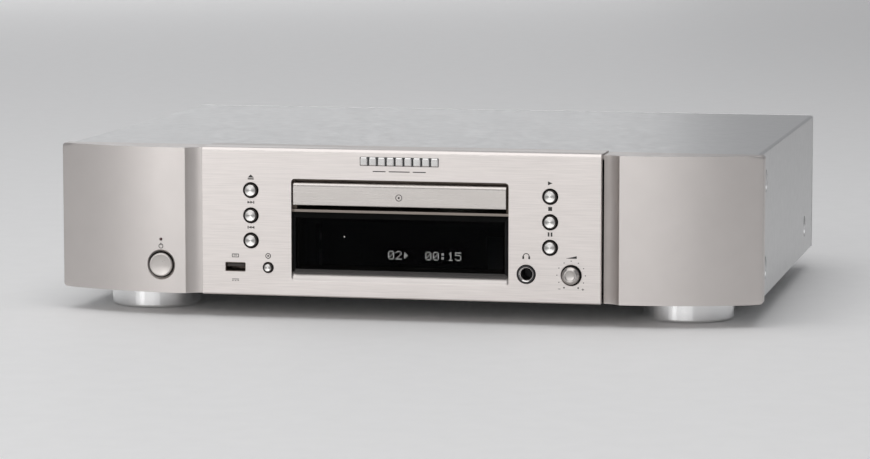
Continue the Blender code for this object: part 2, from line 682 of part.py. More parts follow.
def make_clamp():
    plate = box((-71.6, 71.6), (DISC_Y - 18, DISC_Y + 18), (88.3, 89.5))
    bridge = piece("clamp_bridge", "zinc_steel", plate)
    for y in (DISC_Y - 18, DISC_Y + 16.8):
        fuse(bridge, box((-60.0, 60.0), (y, y + 1.2), (88.4, 93.0)))
    carve(bridge, rod(11.0, 87.0, 91.0, steps=MEDIUM, at=(0, DISC_Y, 0)))
    profile = [(0, 82.4), (8.6, 82.4), (8.6, 79.4), (16.0, 79.4), (16.0, 84.0), (9.6, 84.0)]
    profile += [(9.6, 91.5), (13.5, 91.5), (13.5, 93.8), (0, 93.8)]
    piece("clamp_puck", "white_plastic", turned(profile, steps=MEDIUM), (0.0, DISC_Y, 0.0))


# ---------------------------------------------------------------- traverse


def make_traverse():
    at = (0.0, PIVOT_Y, PIVOT_Z)
    half = TRAVERSE_HALF
    plate = box((-half, half), (TRAVERSE_FRONT - PIVOT_Y, 3.0), (-1.0, 1.0))
    traverse = piece("traverse_plate", "zinc_steel", plate, at)
    carve(traverse, box((-14.0, 14.0), (98.0, 150.0), (55.0, 70.0)))
    posts = []
    for side in (-1, 1):
        post = sorted((side * 17.0, side * 23.0))
        for y in (88.0, 160.0):
            posts.append(box(post, (y, y + 4.0), (PIVOT_Z + 0.5, 69.0)))
    posts.append(box((SCREW_X - 4, SCREW_X + 3.5), (88.0, 92.0), (PIVOT_Z + 0.5, 69.0)))
    fuse(traverse, *posts)
    reach = half + 7.4
    fuse(traverse, rod(2.0, -reach, reach, "X", SMALL, at=(0.0, PIVOT_Y, PIVOT_Z)))
    pin = rod(1.5, 56.6, TRAVERSE_FRONT + 1.0, "Y", TINY, at=(CAM_PIN_X, 0.0, PIVOT_Z))
    fuse(traverse, pin)
    for side, name in ((-1, "left"), (1, "right")):
        guide = rod(1.5, 0.0, 67.4, "Y", TINY)
        piece(f"guide_rod_{name}", "polished_metal", guide, (side * ROD_X, 92.3, ROD_Z))
    profile = [(0, 62.3), (11.0, 62.3), (11.0, 67.6), (3.0, 68.4), (0, 68.4)]
    piece("spindle_motor", "zinc_steel", turned(profile, steps=MEDIUM), (0.0, DISC_Y, 0.0))
    motor = box((-6.0, 6.0), (0.0, 13.4), (-4.1, 4.1))
    piece("feed_motor", "zinc_steel", motor, (SCREW_X, 156.0, ROD_Z))
    screw = rod(1.5, 0.0, 63.2, "Y", TINY)
    piece("feed_screw", "polished_metal", screw, (SCREW_X, 92.4, ROD_Z))


def make_turntable():
    profile = [(0, 68.9), (4.0, 68.9), (4.0, 74.0), (15.0, 74.0), (15.0, 78.0), (7.6, 78.0)]
    profile += [(7.2, 79.6), (5.0, 80.8), (0, 80.8)]
    piece("turntable", "black_plastic", turned(profile, steps=MEDIUM), (0.0, DISC_Y, 0.0))


def make_pickup():
    at = (0.0, PICKUP_START, ROD_Z)
    body = box((-23.5, 23.5), (0.0, 20.0), (-3.6, 3.6))
    pickup = piece("pickup_head", "black_plastic", body, at)
    nut = box((SCREW_X - 4.0, -23.0), (6.0, 14.0), (-3.6, 3.6))
    fuse(pickup, nut, rod(5.0, 3.5, 5.2, steps=SMALL, at=(0, 10, 0)), at=at)
    bores = [rod(1.85, -2.0, 24.0, "Y", TINY, at=(side * ROD_X, 0, 0)) for side in (-1, 1)]
    carve(pickup, *bores, rod(1.85, -2.0, 24.0, "Y", TINY, at=(SCREW_X, 0, 0)), at=at)
    fuse(pickup, rod(2.6, 5.1, 5.9, steps=SMALL, at=(0, 10, 0)), at=at)


def make_cam_slider():
    """A sliding plate whose slanted slot carries the traverse's front pin."""
    at = (CAM_PIN_X, 57.0, PIVOT_Z)
    plate = box((-CAM_STROKE - 9.0, 9.0), (0.0, 3.0), (-17.0, 4.0))
    slider = piece("cam_slider", "white_plastic", plate, at)
    drop = (PIVOT_Y - 58.5) * math.sin(CAM_TILT)
    lean = math.atan2(drop, CAM_STROKE)
    reach = 1.95
    turn = math.degrees(lean)
    slot = arc((0.0, 0.0), reach, turn - 90, turn + 90, 8)
    slot += arc((-CAM_STROKE, -drop), reach, turn + 90, turn + 270, 8)
    carve(slider, prism(slot, "Y", -1.0, 4.0), at=at)


# ---------------------------------------------------------------- electronics


def make_transformer():
    low = BODY_BOTTOM + 0.2 + SHEET + GAP
    feet = box((-192.0, -118.0), (215.0, 275.0), (low, low + 1.6))
    transformer = piece("power_transformer", "zinc_steel", feet)
    fuse(transformer, box((-186.0, -124.0), (222.0, 268.0), (low + 1.0, 66.0)))
    fuse(transformer, box((-174.0, -136.0), (212.0, 278.0), (24.0, 58.0)))


def board(name, x_range, y_range, cans, boxes):
    """A circuit board on posts, with its tall parts standing on it."""
    low = BODY_BOTTOM + 0.2 + SHEET + GAP
    z = (24.0, 25.6)
    made = piece(name, "circuit_board", box(x_range, y_range, z))
    posts = []
    for x in (x_range[0] + 6, x_range[1] - 6):
        for y in (y_range[0] + 6, y_range[1] - 6):
            posts.append(rod(3.0, low, z[0] + 0.5, steps=8, at=(x, y, 0)))
    fuse(made, *posts)
    parts = [rod(radius, z[1] - 0.5, z[1] + tall, steps=TINY, at=(x, y, 0)) for x, y, radius, tall in cans]
    for x, y, wide, deep, tall in boxes:
        xs, ys = (x - wide / 2, x + wide / 2), (y - deep / 2, y + deep / 2)
        parts.append(box(xs, ys, (z[1] - 0.5, z[1] + tall)))
    fuse(made, *parts)


def make_boards():
    board(
        "power_board",
        (-206.0, -86.0),
        (52.0, 200.0),
        [(-185, 80, 11, 34), (-158, 80, 11, 34), (-185, 110, 8, 24), (-163, 110, 8, 24), (-185, 180, 6, 16)],
        [(-120, 90, 14, 50, 32), (-150, 160, 34, 24, 18), (-105, 170, 20, 30, 14)],
    )
    board(
        "main_board",
        (86.0, 206.0),
        (70.0, 300.0),
        [(x, 120 + 26 * row, 6, 16) for x in (166, 190) for row in range(5)],
        [(115, 110, 40, 34, 12), (120, 190, 28, 28, 2.4), (120, 250, 44, 30, 14), (180, 270, 30, 18, 15)],
    )


# ---------------------------------------------------------------- rear sockets


def make_jack_block(name, jacks, x_range, z_range):
    """A moulded block behind the rear panel with its socket barrels passing through it."""
    block_y = (REAR_PANEL_Y - 14.0, REAR_PANEL_Y - GAP)
    made = piece(name, "black_plastic", box(x_range, block_y, z_range))
    barrels = [rod(JACK_RADIUS, block_y[1] - 1, SOCKET_BACK, "Y", SMALL, at=(x, 0, z)) for x, z in jacks]
    fuse(made, *barrels)
    bores = [rod(1.7, block_y[1] - 6, SOCKET_BACK + 1, "Y", TINY, at=(x, 0, z)) for x, z in jacks]
    carve(made, *bores)
    return made


def make_rear_sockets():
    make_jack_block("analog_jacks", ANALOG_JACKS, (164.0, 188.0), (34.0, 78.0))
    coaxial = ((COAXIAL_X, DIGITAL_Z),)
    digital = make_jack_block("digital_jacks", coaxial, (106.0, 150.0), (46.0, 66.0))
    window = (OPTICAL_X - 5.0, OPTICAL_X + 5.0)
    square = (DIGITAL_Z - 5.0, DIGITAL_Z + 5.0)
    fuse(digital, box(window, (REAR_PANEL_Y - 2, REAR_PANEL_Y + 3.2), square))
    inner_window = (OPTICAL_X - 3.4, OPTICAL_X + 3.4)
    inner_square = (DIGITAL_Z - 3.4, DIGITAL_Z + 3.4)
    carve(digital, box(inner_window, (REAR_PANEL_Y - 8, REAR_PANEL_Y + 5), inner_square))
    make_jack_block("remote_jacks", REMOTE_JACKS, (56.0, 78.0), (36.0, 76.0))
    lever = box((-2.0, 0.0), (-3.0, 3.4), (-2.0, 2.0))
    at = (SWITCH_X - 0.5, REAR_PANEL_Y, REMOTE_Z[1])
    piece("remote_switch", "black_plastic", lever, at)
    make_inlet()


def make_inlet():
    """A two-pin mains inlet with its blades inside the cavity."""
    outer = box((-13.0, 13.0), (-20.0, 3.6), (-9.0, 9.0))
    at = (INLET_X, REAR_PANEL_Y, INLET_Z)
    inlet = piece("ac_inlet", "black_plastic", outer, at)
    carve(inlet, box((-10.0, 10.0), (-14.0, 6.0), (-6.0, 6.0)), at=at)
    blades = [box(xs, (-15.0, 1.0), (-1.0, 1.0)) for xs in ((-5.6, -3.4), (3.4, 5.6))]
    fuse(inlet, *blades, at=at)


clear_scene()
finishes = {name: make_finish(name) for name in COLOURS}
assembly = make_assembly()
make_chassis_base()
make_top_cover()
make_rear_panel()
make_feet()
make_fascia()
make_wing(-1, "left")
make_wing(1, "right")
make_front_frame()
make_window_bezel()
make_display()
make_nameplate()
make_buttons()
make_level_control()
make_front_sockets()
make_button_boards()
make_tray()
make_loader_frame()
make_loading_drive()
make_clamp()
make_traverse()
make_turntable()
make_pickup()
make_cam_slider()
make_transformer()
make_boards()
make_rear_sockets()
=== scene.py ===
import json
import math

import bmesh
import bpy
from mathutils import Matrix, Vector

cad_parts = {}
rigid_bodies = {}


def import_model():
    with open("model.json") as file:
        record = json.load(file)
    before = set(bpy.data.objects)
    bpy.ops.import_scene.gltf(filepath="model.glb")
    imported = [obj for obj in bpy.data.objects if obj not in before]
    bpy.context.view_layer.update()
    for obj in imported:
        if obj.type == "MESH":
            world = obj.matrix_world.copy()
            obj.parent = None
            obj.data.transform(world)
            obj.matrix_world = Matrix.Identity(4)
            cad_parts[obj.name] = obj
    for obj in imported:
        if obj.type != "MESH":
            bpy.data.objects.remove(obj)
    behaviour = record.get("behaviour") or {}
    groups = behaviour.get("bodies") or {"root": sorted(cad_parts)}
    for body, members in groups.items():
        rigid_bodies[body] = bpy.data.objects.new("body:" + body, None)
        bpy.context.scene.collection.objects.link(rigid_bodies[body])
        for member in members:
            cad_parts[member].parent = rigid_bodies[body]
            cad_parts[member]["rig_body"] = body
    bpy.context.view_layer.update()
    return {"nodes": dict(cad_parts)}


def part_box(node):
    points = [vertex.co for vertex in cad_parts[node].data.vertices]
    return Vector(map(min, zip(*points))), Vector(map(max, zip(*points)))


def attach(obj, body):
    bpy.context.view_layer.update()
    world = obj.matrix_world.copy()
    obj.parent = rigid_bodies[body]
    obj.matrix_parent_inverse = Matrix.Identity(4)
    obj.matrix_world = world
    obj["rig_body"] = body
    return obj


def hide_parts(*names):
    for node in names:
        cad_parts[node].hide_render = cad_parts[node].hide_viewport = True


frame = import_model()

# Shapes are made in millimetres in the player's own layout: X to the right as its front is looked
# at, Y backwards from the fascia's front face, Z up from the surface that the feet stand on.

MM = 0.001
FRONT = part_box("fascia_plate")[0].y / MM
TO_WORLD = Matrix.Scale(MM, 4) @ Matrix.Translation((0.0, FRONT, 0.0))
scene = bpy.context.scene


def cad(node):
    """A CAD node's lowest and highest corners, in millimetres in the player's layout."""
    return [corner / MM - Vector((0.0, FRONT, 0.0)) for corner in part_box(node)]


def middle(node):
    """The middle of a CAD node's box."""
    low, high = cad(node)
    return (low + high) / 2


FASCIA_LOW, FASCIA_HIGH = cad("fascia_plate")
WING_LOW, WING_HIGH = cad("wing_right")
COVER_LOW, COVER_HIGH = cad("top_cover")
TRAY_LOW, TRAY_HIGH = cad("disc_tray")
TRAY_FRONT_LOW, TRAY_FRONT_HIGH = cad("tray_front")
PANEL_LOW, PANEL_HIGH = cad("rear_panel")
POWER = middle("power_button")
LEVEL = middle("level_knob")
PHONES = middle("headphone_jack")
USB = middle("usb_socket")
SOURCE = middle("source_button")
TRANSPORT = ("eject", "next", "previous", "play", "stop", "pause")

FASCIA_THICK = 5.0
BOW_START = 135.2  # where a wing's face starts to bow back
BOW_REACH = 370.0
WING_CORNER = 2.2  # radius of a wing's outer corners as seen from the front
WING_WALL = 3.0
WINDOW_HALF = 67.7
WINDOW_LOW = 23.6
WINDOW_HIGH = 86.5
COVER_SCREWS = ((62.0, 85.0), (62.0, 31.6), (283.0, 32.8))  # y, z on each side
PRINT = 0.05  # how far printed marks stand proud

# ---------------------------------------------------------------- materials


class Look:
    """A Principled material whose colour, roughness and bump are built up from noise fields."""

    def __init__(self, name, colour, roughness, metallic=0.0, **sockets):
        self.material = bpy.data.materials.new(name)
        self.material.use_nodes = True
        self.nodes = self.material.node_tree.nodes
        self.links = self.material.node_tree.links
        self.shader = self.nodes["Principled BSDF"]
        self.colour = colour
        values = {"Base Color": (*colour, 1.0), "Roughness": roughness, "Metallic": metallic}
        for socket, value in {**values, **sockets}.items():
            self.shader.inputs[socket].default_value = value
        self.coordinates = self.nodes.new("ShaderNodeTexCoord").outputs["Object"]

    def noise(self, size, detail=3.0):
        """A field from 0 to 1 whose features have a size in millimetres along each axis."""
        if not isinstance(size, tuple):
            size = (size, size, size)
        mapping = self.nodes.new("ShaderNodeMapping")
        mapping.inputs["Scale"].default_value = [1.0 / (MM * value) for value in size]
        self.links.new(self.coordinates, mapping.inputs["Vector"])
        field = self.nodes.new("ShaderNodeTexNoise")
        field.inputs["Scale"].default_value = 1.0
        field.inputs["Detail"].default_value = detail
        self.links.new(mapping.outputs["Vector"], field.inputs["Vector"])
        return field.outputs["Fac"]

    def spread(self, field, low, high):
        """The middle of a noise field stretched to a range."""
        stretch = self.nodes.new("ShaderNodeMapRange")
        stretch.inputs["From Min"].default_value = 0.3
        stretch.inputs["From Max"].default_value = 0.7
        stretch.inputs["To Min"].default_value = low
        stretch.inputs["To Max"].default_value = high
        self.links.new(field, stretch.inputs["Value"])
        return stretch.outputs["Result"]

    def tint(self, field, amount):
        """Lighten and darken the colour by a share of itself."""
        mix = self.nodes.new("ShaderNodeMix")
        mix.data_type = "RGBA"
        mix.inputs["A"].default_value = (*[value * (1 - amount) for value in self.colour], 1.0)
        mix.inputs["B"].default_value = (*[min(1.0, value * (1 + amount)) for value in self.colour], 1.0)
        self.links.new(self.spread(field, 0.0, 1.0), mix.inputs["Factor"])
        self.links.new(mix.outputs["Result"], self.shader.inputs["Base Color"])
        return self

    def roughen(self, field, low, high):
        """Let the gloss vary over a range of roughness."""
        self.links.new(self.spread(field, low, high), self.shader.inputs["Roughness"])
        return self

    def bump(self, field, height):
        """Relief of a height in millimetres."""
        bump = self.nodes.new("ShaderNodeBump")
        bump.inputs["Distance"].default_value = height * MM
        self.links.new(field, bump.inputs["Height"])
        self.links.new(bump.outputs["Normal"], self.shader.inputs["Normal"])
        return self

    def turned_about(self, axis):
        """Stretch highlights across brushing that runs round an axis through the piece's middle."""
        tangent = self.nodes.new("ShaderNodeTangent")
        tangent.direction_type = "RADIAL"
        tangent.axis = axis
        self.links.new(tangent.outputs["Tangent"], self.shader.inputs["Tangent"])
        return self

    def painted_bowtie_reflection(self, shade):
        """Paint a bow-tie reflection into a spun face's colour: darker in two wedges, left and right of its
        middle, standing in for the reflection of a dark surround.
        """
        split = self.nodes.new("ShaderNodeSeparateXYZ")
        self.links.new(self.nodes.new("ShaderNodeTexCoord").outputs["Generated"], split.inputs["Vector"])
        across, up = [self.squared(split.outputs[axis]) for axis in ("X", "Z")]
        share = self.combine(across, self.combine(across, up, "ADD"), "DIVIDE")
        mix = self.nodes.new("ShaderNodeMix")
        mix.data_type = "RGBA"
        mix.inputs["A"].default_value = (*self.colour, 1.0)
        mix.inputs["B"].default_value = (*[value * shade for value in self.colour], 1.0)
        self.links.new(self.combine(share, share, "MULTIPLY"), mix.inputs["Factor"])
        self.links.new(mix.outputs["Result"], self.shader.inputs["Base Color"])
        return self

    def squared(self, value):
        """The square of a 0 to 1 coordinate's distance from the middle."""
        offset = self.nodes.new("ShaderNodeMath")
        offset.operation = "SUBTRACT"
        offset.inputs[1].default_value = 0.5
        self.links.new(value, offset.inputs[0])
        return self.combine(offset.outputs["Value"], offset.outputs["Value"], "MULTIPLY")

    def combine(self, first, second, operation):
        """Two values put together by a maths node."""
        node = self.nodes.new("ShaderNodeMath")
        node.operation = operation
        self.links.new(first, node.inputs[0])
        self.links.new(second, node.inputs[1])
        return node.outputs["Value"]


def simple_look(name, colour, roughness, metallic=0.0, grain=0.6, relief=0.01, tone=0.06, **sockets):
    """A moulded, painted or plated finish with fine grain and slightly uneven gloss."""
    look = Look(name, colour, roughness, metallic, **sockets)
    look.tint(look.noise(18.0), tone)
    look.roughen(look.noise(6.0), roughness * 0.88, roughness * 1.12)
    look.bump(look.noise(grain), relief)
    return look


def brushed_look(name, colour, roughness, streak, axis="Z", anisotropic=0.6, tone=0.03):
    """Brushed metal: long thin streaks in colour, gloss and relief."""
    look = Look(name, colour, roughness, 1.0, Anisotropic=anisotropic, **{"Anisotropic Rotation": 0.25})
    streaks = look.noise(streak, 5.0)
    look.tint(streaks, tone)
    look.roughen(streaks, roughness * 0.9, roughness * 1.1)
    look.bump(streaks, 0.004)
    return look.turned_about(axis)


def make_looks():
    """Every look, under the name by which pieces ask for it."""
    made = {
        "fascia": brushed_look(
            "brushed_champagne", (0.655, 0.613, 0.590), 0.36, (20.0, 0.55, 0.48), tone=0.07
        ),
        "tray": brushed_look("fine_champagne", (0.54, 0.508, 0.484), 0.26, (24.0, 0.6, 0.5)),
        # a darker copy of the brushed champagne for the bar under the tray: painted shadow of the tray front
        # that overhangs it
        "ledge": brushed_look("shadowed_ledge_champagne", (0.24, 0.21, 0.187), 0.36, (24.0, 0.6, 0.5), tone=0.04),
        "wing": simple_look("satin_champagne", (0.62, 0.582, 0.561), 0.34, 0.9, 0.35, 0.003, 0.015),
        "cover": simple_look("silver_coat", (0.62, 0.62, 0.62), 0.34, 0.8, 0.4, 0.004, 0.015),
        # spun caps: real concentric brushing, plus a painted reflection, the bow-tie of darker wedges left
        # and right
        "spun": brushed_look("spun_metal_painted_bowtie", (0.84, 0.82, 0.80), 0.28, 2.0, "Y", 0.93, 0.01).painted_bowtie_reflection(0.42),
        "cap": brushed_look("satin_cap", (0.52, 0.49, 0.468), 0.30, 6.0, "Y", 0.4, 0.01),
        "skirt": simple_look("button_skirt", (0.07, 0.062, 0.057), 0.34, 0.7, 2.0, 0.002, 0.1),
        "foot": brushed_look("turned_metal", (0.95, 0.95, 0.95), 0.22, (30.0, 30.0, 0.3), "Z", 0.9, 0.02),
        "chrome": simple_look("chrome", (0.90, 0.885, 0.87), 0.10, 1.0, 2.0, 0.001, 0.02),
        "plate": simple_look("plate_chrome", (0.66, 0.65, 0.64), 0.16, 1.0, 2.0, 0.001, 0.03),
        # chrome with its colour darkened: painted reflection of a dark surround in the headphone socket's
        # funnel
        "funnel": simple_look("chrome_painted_dark", (0.58, 0.56, 0.55), 0.18, 1.0, 2.0, 0.001, 0.03),
        # dark brown for the window bezel instead of black: painted reflection of the champagne tray in the
        # bezel's walls round the tray slot
        "brown_reflection": simple_look("painted_reflection_bronze", (0.10, 0.076, 0.058), 0.42, 0.3, 1.0, 0.003, 0.12),
        "zinc": simple_look("zinc_plate", (0.55, 0.56, 0.56), 0.38, 0.95, 5.0, 0.008, 0.12),
        "gold": simple_look("gold_plate", (0.86, 0.62, 0.28), 0.22, 1.0, 1.0, 0.002, 0.05),
        "black": simple_look("black_plastic", (0.018, 0.018, 0.019), 0.46, 0.0, 0.4, 0.02, 0.2),
        "gloss": simple_look(
            "gloss_black", (0.006, 0.006, 0.007), 0.12, 0.0, 4.0, 0.001, 0.2, **{"Specular IOR Level": 0.25}
        ),
        "paint": simple_look("black_paint", (0.022, 0.022, 0.024), 0.5, 0.0, 0.5, 0.05, 0.2),
        "board": simple_look("solder_mask", (0.02, 0.13, 0.05), 0.35, 0.0, 1.4, 0.03, 0.35),
        "acetal": simple_look("acetal", (0.74, 0.74, 0.70), 0.42, 0.0, 1.0, 0.006, 0.04),
        "rubber": simple_look("rubber", (0.025, 0.025, 0.025), 0.8, 0.0, 0.5, 0.03, 0.2),
        "vfd": simple_look(
            "display_glass", (0.001, 0.0012, 0.0012), 0.2, grain=1.0, relief=0.001, tone=0.3,
            **{"Specular IOR Level": 0.08}
        ),
        "lamp": simple_look("lamp_lens", (0.10, 0.05, 0.05), 0.25, 0.0, 1.0, 0.002, 0.1),
        "ink": simple_look("grey_ink", (0.022, 0.021, 0.02), 0.6, 0.0, 0.3, 0.002, 0.15),
        "edge": simple_look(
            "lens_edge", (0.012, 0.012, 0.013), 0.14, 0.0, 3.0, 0.001, 0.2, **{"Specular IOR Level": 0.8}
        ),
        # near-black with little gloss: painted shade, for the linings in the controls' holes and the
        # display's upper slope
        "shade": simple_look(
            "painted_shade_black", (0.004, 0.004, 0.004), 0.7, 0.0, 0.5, 0.01, 0.2, **{"Specular IOR Level": 0.1}
        ),
        "dark_steel": simple_look("dark_steel", (0.13, 0.105, 0.09), 0.4, 1.0, 1.0, 0.003, 0.1),
        "tongue": simple_look("brown_plastic", (0.035, 0.026, 0.021), 0.5, 0.0, 0.6, 0.004, 0.15),
        "white_ring": simple_look("white_ring", (0.75, 0.75, 0.74), 0.4),
        "red_ring": simple_look("red_ring", (0.55, 0.02, 0.02), 0.4),
        "orange_ring": simple_look("orange_ring", (0.70, 0.24, 0.03), 0.4),
        "black_ring": simple_look("black_ring", (0.02, 0.02, 0.02), 0.35),
        "floor": simple_look("floor", (0.90, 0.895, 0.89), 0.6, 0.0, 40.0, 0.01, 0.01),
    }
    acrylic = {"Specular IOR Level": 0.03, "Alpha": 0.6}
    lens = Look("smoked_acrylic", (0.001, 0.001, 0.0012), 0.06, **acrylic)
    made["lens"] = lens.tint(lens.noise(30.0), 0.2).roughen(lens.noise(12.0), 0.05, 0.08)
    digits = Look("lit_dots", (0.5, 0.52, 0.52), 0.5, **{"Emission Strength": 5.5})
    digits.shader.inputs["Emission Color"].default_value = (0.93, 0.94, 0.92, 1.0)
    made["digits"] = digits.tint(digits.noise(0.3), 0.1)
    return made


looks = make_looks()

# ---------------------------------------------------------------- shapes, as bmeshes in millimetres


def together(*shapes):
    """Join shapes into one bmesh."""
    whole = bmesh.new()
    for shape in shapes:
        part = bpy.data.meshes.new("part")
        bmesh.ops.recalc_face_normals(shape, faces=shape.faces)
        shape.to_mesh(part)
        shape.free()
        whole.from_mesh(part)
        bpy.data.meshes.remove(part)
    return whole


def box(x_range, y_range, z_range):
    """A block between two limits along each axis."""
    shape = bmesh.new()
    bmesh.ops.create_cube(shape, size=1.0)
    for vert in shape.verts:
        for axis, (low, high) in enumerate((x_range, y_range, z_range)):
            vert.co[axis] = high if vert.co[axis] > 0 else low
    return shape


def loft(sections):
    """A closed skin through sections, each a list of points, with a face at each end."""
    shape = bmesh.new()
    loops = [[shape.verts.new(point) for point in section] for section in sections]
    shape.faces.new(loops[0])
    shape.faces.new(loops[-1][::-1])
    for near, far in zip(loops, loops[1:]):
        for index in range(len(near)):
            after = (index + 1) % len(near)
            shape.faces.new((near[index], near[after], far[after], far[index]))
    return shape


def prism(outline, axis, low, high):
    """Extrude an outline along an axis; its points are (y, z), (x, z) or (x, y) pairs."""
    order = {"X": lambda a, b, c: (c, a, b), "Y": lambda a, b, c: (a, c, b), "Z": lambda a, b, c: (a, b, c)}
    place = order[axis]
    return loft([[place(a, b, level) for a, b in outline] for level in (low, high)])


def turned(profile, at=(0.0, 0.0, 0.0), axis="Y", steps=64, closed=False):
    """Spin a profile of (radius, distance along the axis) points through a full turn."""
    shape = bmesh.new()
    verts = [shape.verts.new((radius, 0.0, along)) for radius, along in profile]
    pairs = list(zip(verts, verts[1:])) + ([(verts[-1], verts[0])] if closed else [])
    edges = [shape.edges.new(pair) for pair in pairs]
    bmesh.ops.spin(
        shape, geom=verts + edges, cent=(0, 0, 0), axis=(0, 0, 1), angle=math.tau, steps=steps, use_merge=True
    )
    bmesh.ops.remove_doubles(shape, verts=shape.verts, dist=0.001)
    turn = {"X": (math.radians(90), "Y"), "Y": (math.radians(-90), "X"), "Z": (0.0, "Z")}[axis]
    shape.transform(Matrix.Translation(at) @ Matrix.Rotation(turn[0], 4, turn[1]))
    return shape


def rod(radius, low, high, at=(0.0, 0.0, 0.0), axis="Y", steps=48):
    """A round bar between two places along an axis."""
    return turned([(0, low), (radius, low), (radius, high), (0, high)], at, axis, steps)


def arc(centre, radius, start, end, steps):
    """Points on an arc, with angles in degrees."""
    angles = [math.radians(start + (end - start) * index / steps) for index in range(steps + 1)]
    return [(centre[0] + radius * math.cos(a), centre[1] + radius * math.sin(a)) for a in angles]


def span(first, last, steps):
    """Evenly spaced values, with both ends."""
    return [first + (last - first) * step / steps for step in range(steps + 1)]


def rounded(left, right, low, high, radius, steps=6):
    """Outline of a rectangle with rounded corners."""
    points = arc((right - radius, low + radius), radius, -90, 0, steps)
    points += arc((right - radius, high - radius), radius, 0, 90, steps)
    points += arc((left + radius, high - radius), radius, 90, 180, steps)
    return points + arc((left + radius, low + radius), radius, 180, 270, steps)


# ---------------------------------------------------------------- pieces


def add_object(name, shape):
    """Turn a bmesh that is already in metres into an object."""
    mesh = bpy.data.meshes.new(name)
    shape.to_mesh(mesh)
    shape.free()
    made = bpy.data.objects.new(name, mesh)
    scene.collection.objects.link(made)
    return made


def link(name, shape):
    """Put a shape into the scene, in metres and in the frame's own place."""
    bmesh.ops.recalc_face_normals(shape, faces=shape.faces)
    shape.transform(TO_WORLD)
    return add_object(name, shape)


def add_bevel(made, width, segments, angle=32):
    """Round the edges that are sharper than an angle."""
    bevel = made.modifiers.new("Bevel", "BEVEL")
    bevel.width = width * MM
    bevel.segments = segments
    bevel.limit_method = "ANGLE"
    bevel.angle_limit = math.radians(angle)
    bevel.harden_normals = False


def bake(made, smooth_angle):
    """Replace a mesh by what its modifiers make of it."""
    result = bpy.data.meshes.new_from_object(made.evaluated_get(bpy.context.evaluated_depsgraph_get()))
    made.modifiers.clear()
    made.data = result
    result.shade_smooth()
    result.set_sharp_from_angle(angle=math.radians(smooth_angle))
    weighted = made.modifiers.new("Weighted", "WEIGHTED_NORMAL")
    weighted.weight = 90
    weighted.keep_sharp = True
    made.data = bpy.data.meshes.new_from_object(made.evaluated_get(bpy.context.evaluated_depsgraph_get()))
    made.modifiers.clear()


def settle(made, look, body, nodes):
    """Give a piece its material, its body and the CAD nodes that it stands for."""
    made.data.materials.clear()
    made.data.materials.append(looks[look].material)
    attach(made, body)
    if nodes:
        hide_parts(*nodes)
    return made


def piece(name, shape, look, body="chassis", nodes=(), cuts=(), adds=(), bevel=0.0, segments=3,
          late_bevel=0.0, smooth=38):
    """Bevel a shape, add and cut others, bevel again if asked, and settle it as a piece."""
    made = link(name, shape)
    if bevel:
        add_bevel(made, bevel, segments)
    helpers = []
    for operation, tools in (("UNION", adds), ("DIFFERENCE", cuts)):
        for tool in tools:
            helper = link("tool", tool)
            modifier = made.modifiers.new(operation, "BOOLEAN")
            modifier.operation = operation
            modifier.object = helper
            helpers.append(helper)
    if late_bevel:
        add_bevel(made, late_bevel, 2)
    bake(made, smooth)
    for helper in helpers:
        bpy.data.objects.remove(helper)
    return settle(made, look, body, nodes)


def refined(node, look, width=0.3):
    """A bevelled, smooth-shaded copy of a CAD node, in its own body and slot."""
    source = frame["nodes"][node]
    shape = bmesh.new()
    shape.from_mesh(source.data)
    bmesh.ops.remove_doubles(shape, verts=shape.verts, dist=0.00001)
    bmesh.ops.dissolve_limit(shape, angle_limit=math.radians(1), verts=shape.verts, edges=shape.edges)
    made = add_object(node + "_shape", shape)
    add_bevel(made, width, 2, 40)
    bake(made, 42)
    return settle(made, look, source["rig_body"], (node,))


# ---------------------------------------------------------------- fascia


def bored(radius, at, edge=0.25, through=FASCIA_THICK + 1.0):
    """A cutting tool for a round hole with a small chamfer at the fascia's front."""
    profile = [(0, -1.0), (radius + edge + 1.0, -1.0), (radius, edge), (radius, through), (0, through)]
    return turned(profile, (at.x, 0.0, at.z))


def window_tool():
    """The window's opening: rounded corners, and a lower edge that sweeps up towards the display."""
    sweep_deep, sweep_rise = 4.0, 4.6
    sections = []
    for y in (-1.0, 0.0, 0.3, 0.6, 1.0, 1.5, 2.0, 2.5, 3.0, 3.5, sweep_deep, 6.0):
        deep = min(max(y, 0.0), sweep_deep) / sweep_deep
        low = WINDOW_LOW + sweep_rise * (1 - (1 - deep) ** 1.7)
        outline = rounded(-WINDOW_HALF, WINDOW_HALF, low, WINDOW_HIGH, 2.2)
        sections.append([(x, y, z) for x, z in outline])
    return loft(sections)


def shade_lining(at, inner, outer, near, far):
    """A thin near-black lining in a control's hole: painted shade in the gap round the control."""
    profile = [(inner, near), (outer, near), (outer, far), (inner, far)]
    return turned(profile, (at.x, 0.0, at.z), closed=True)


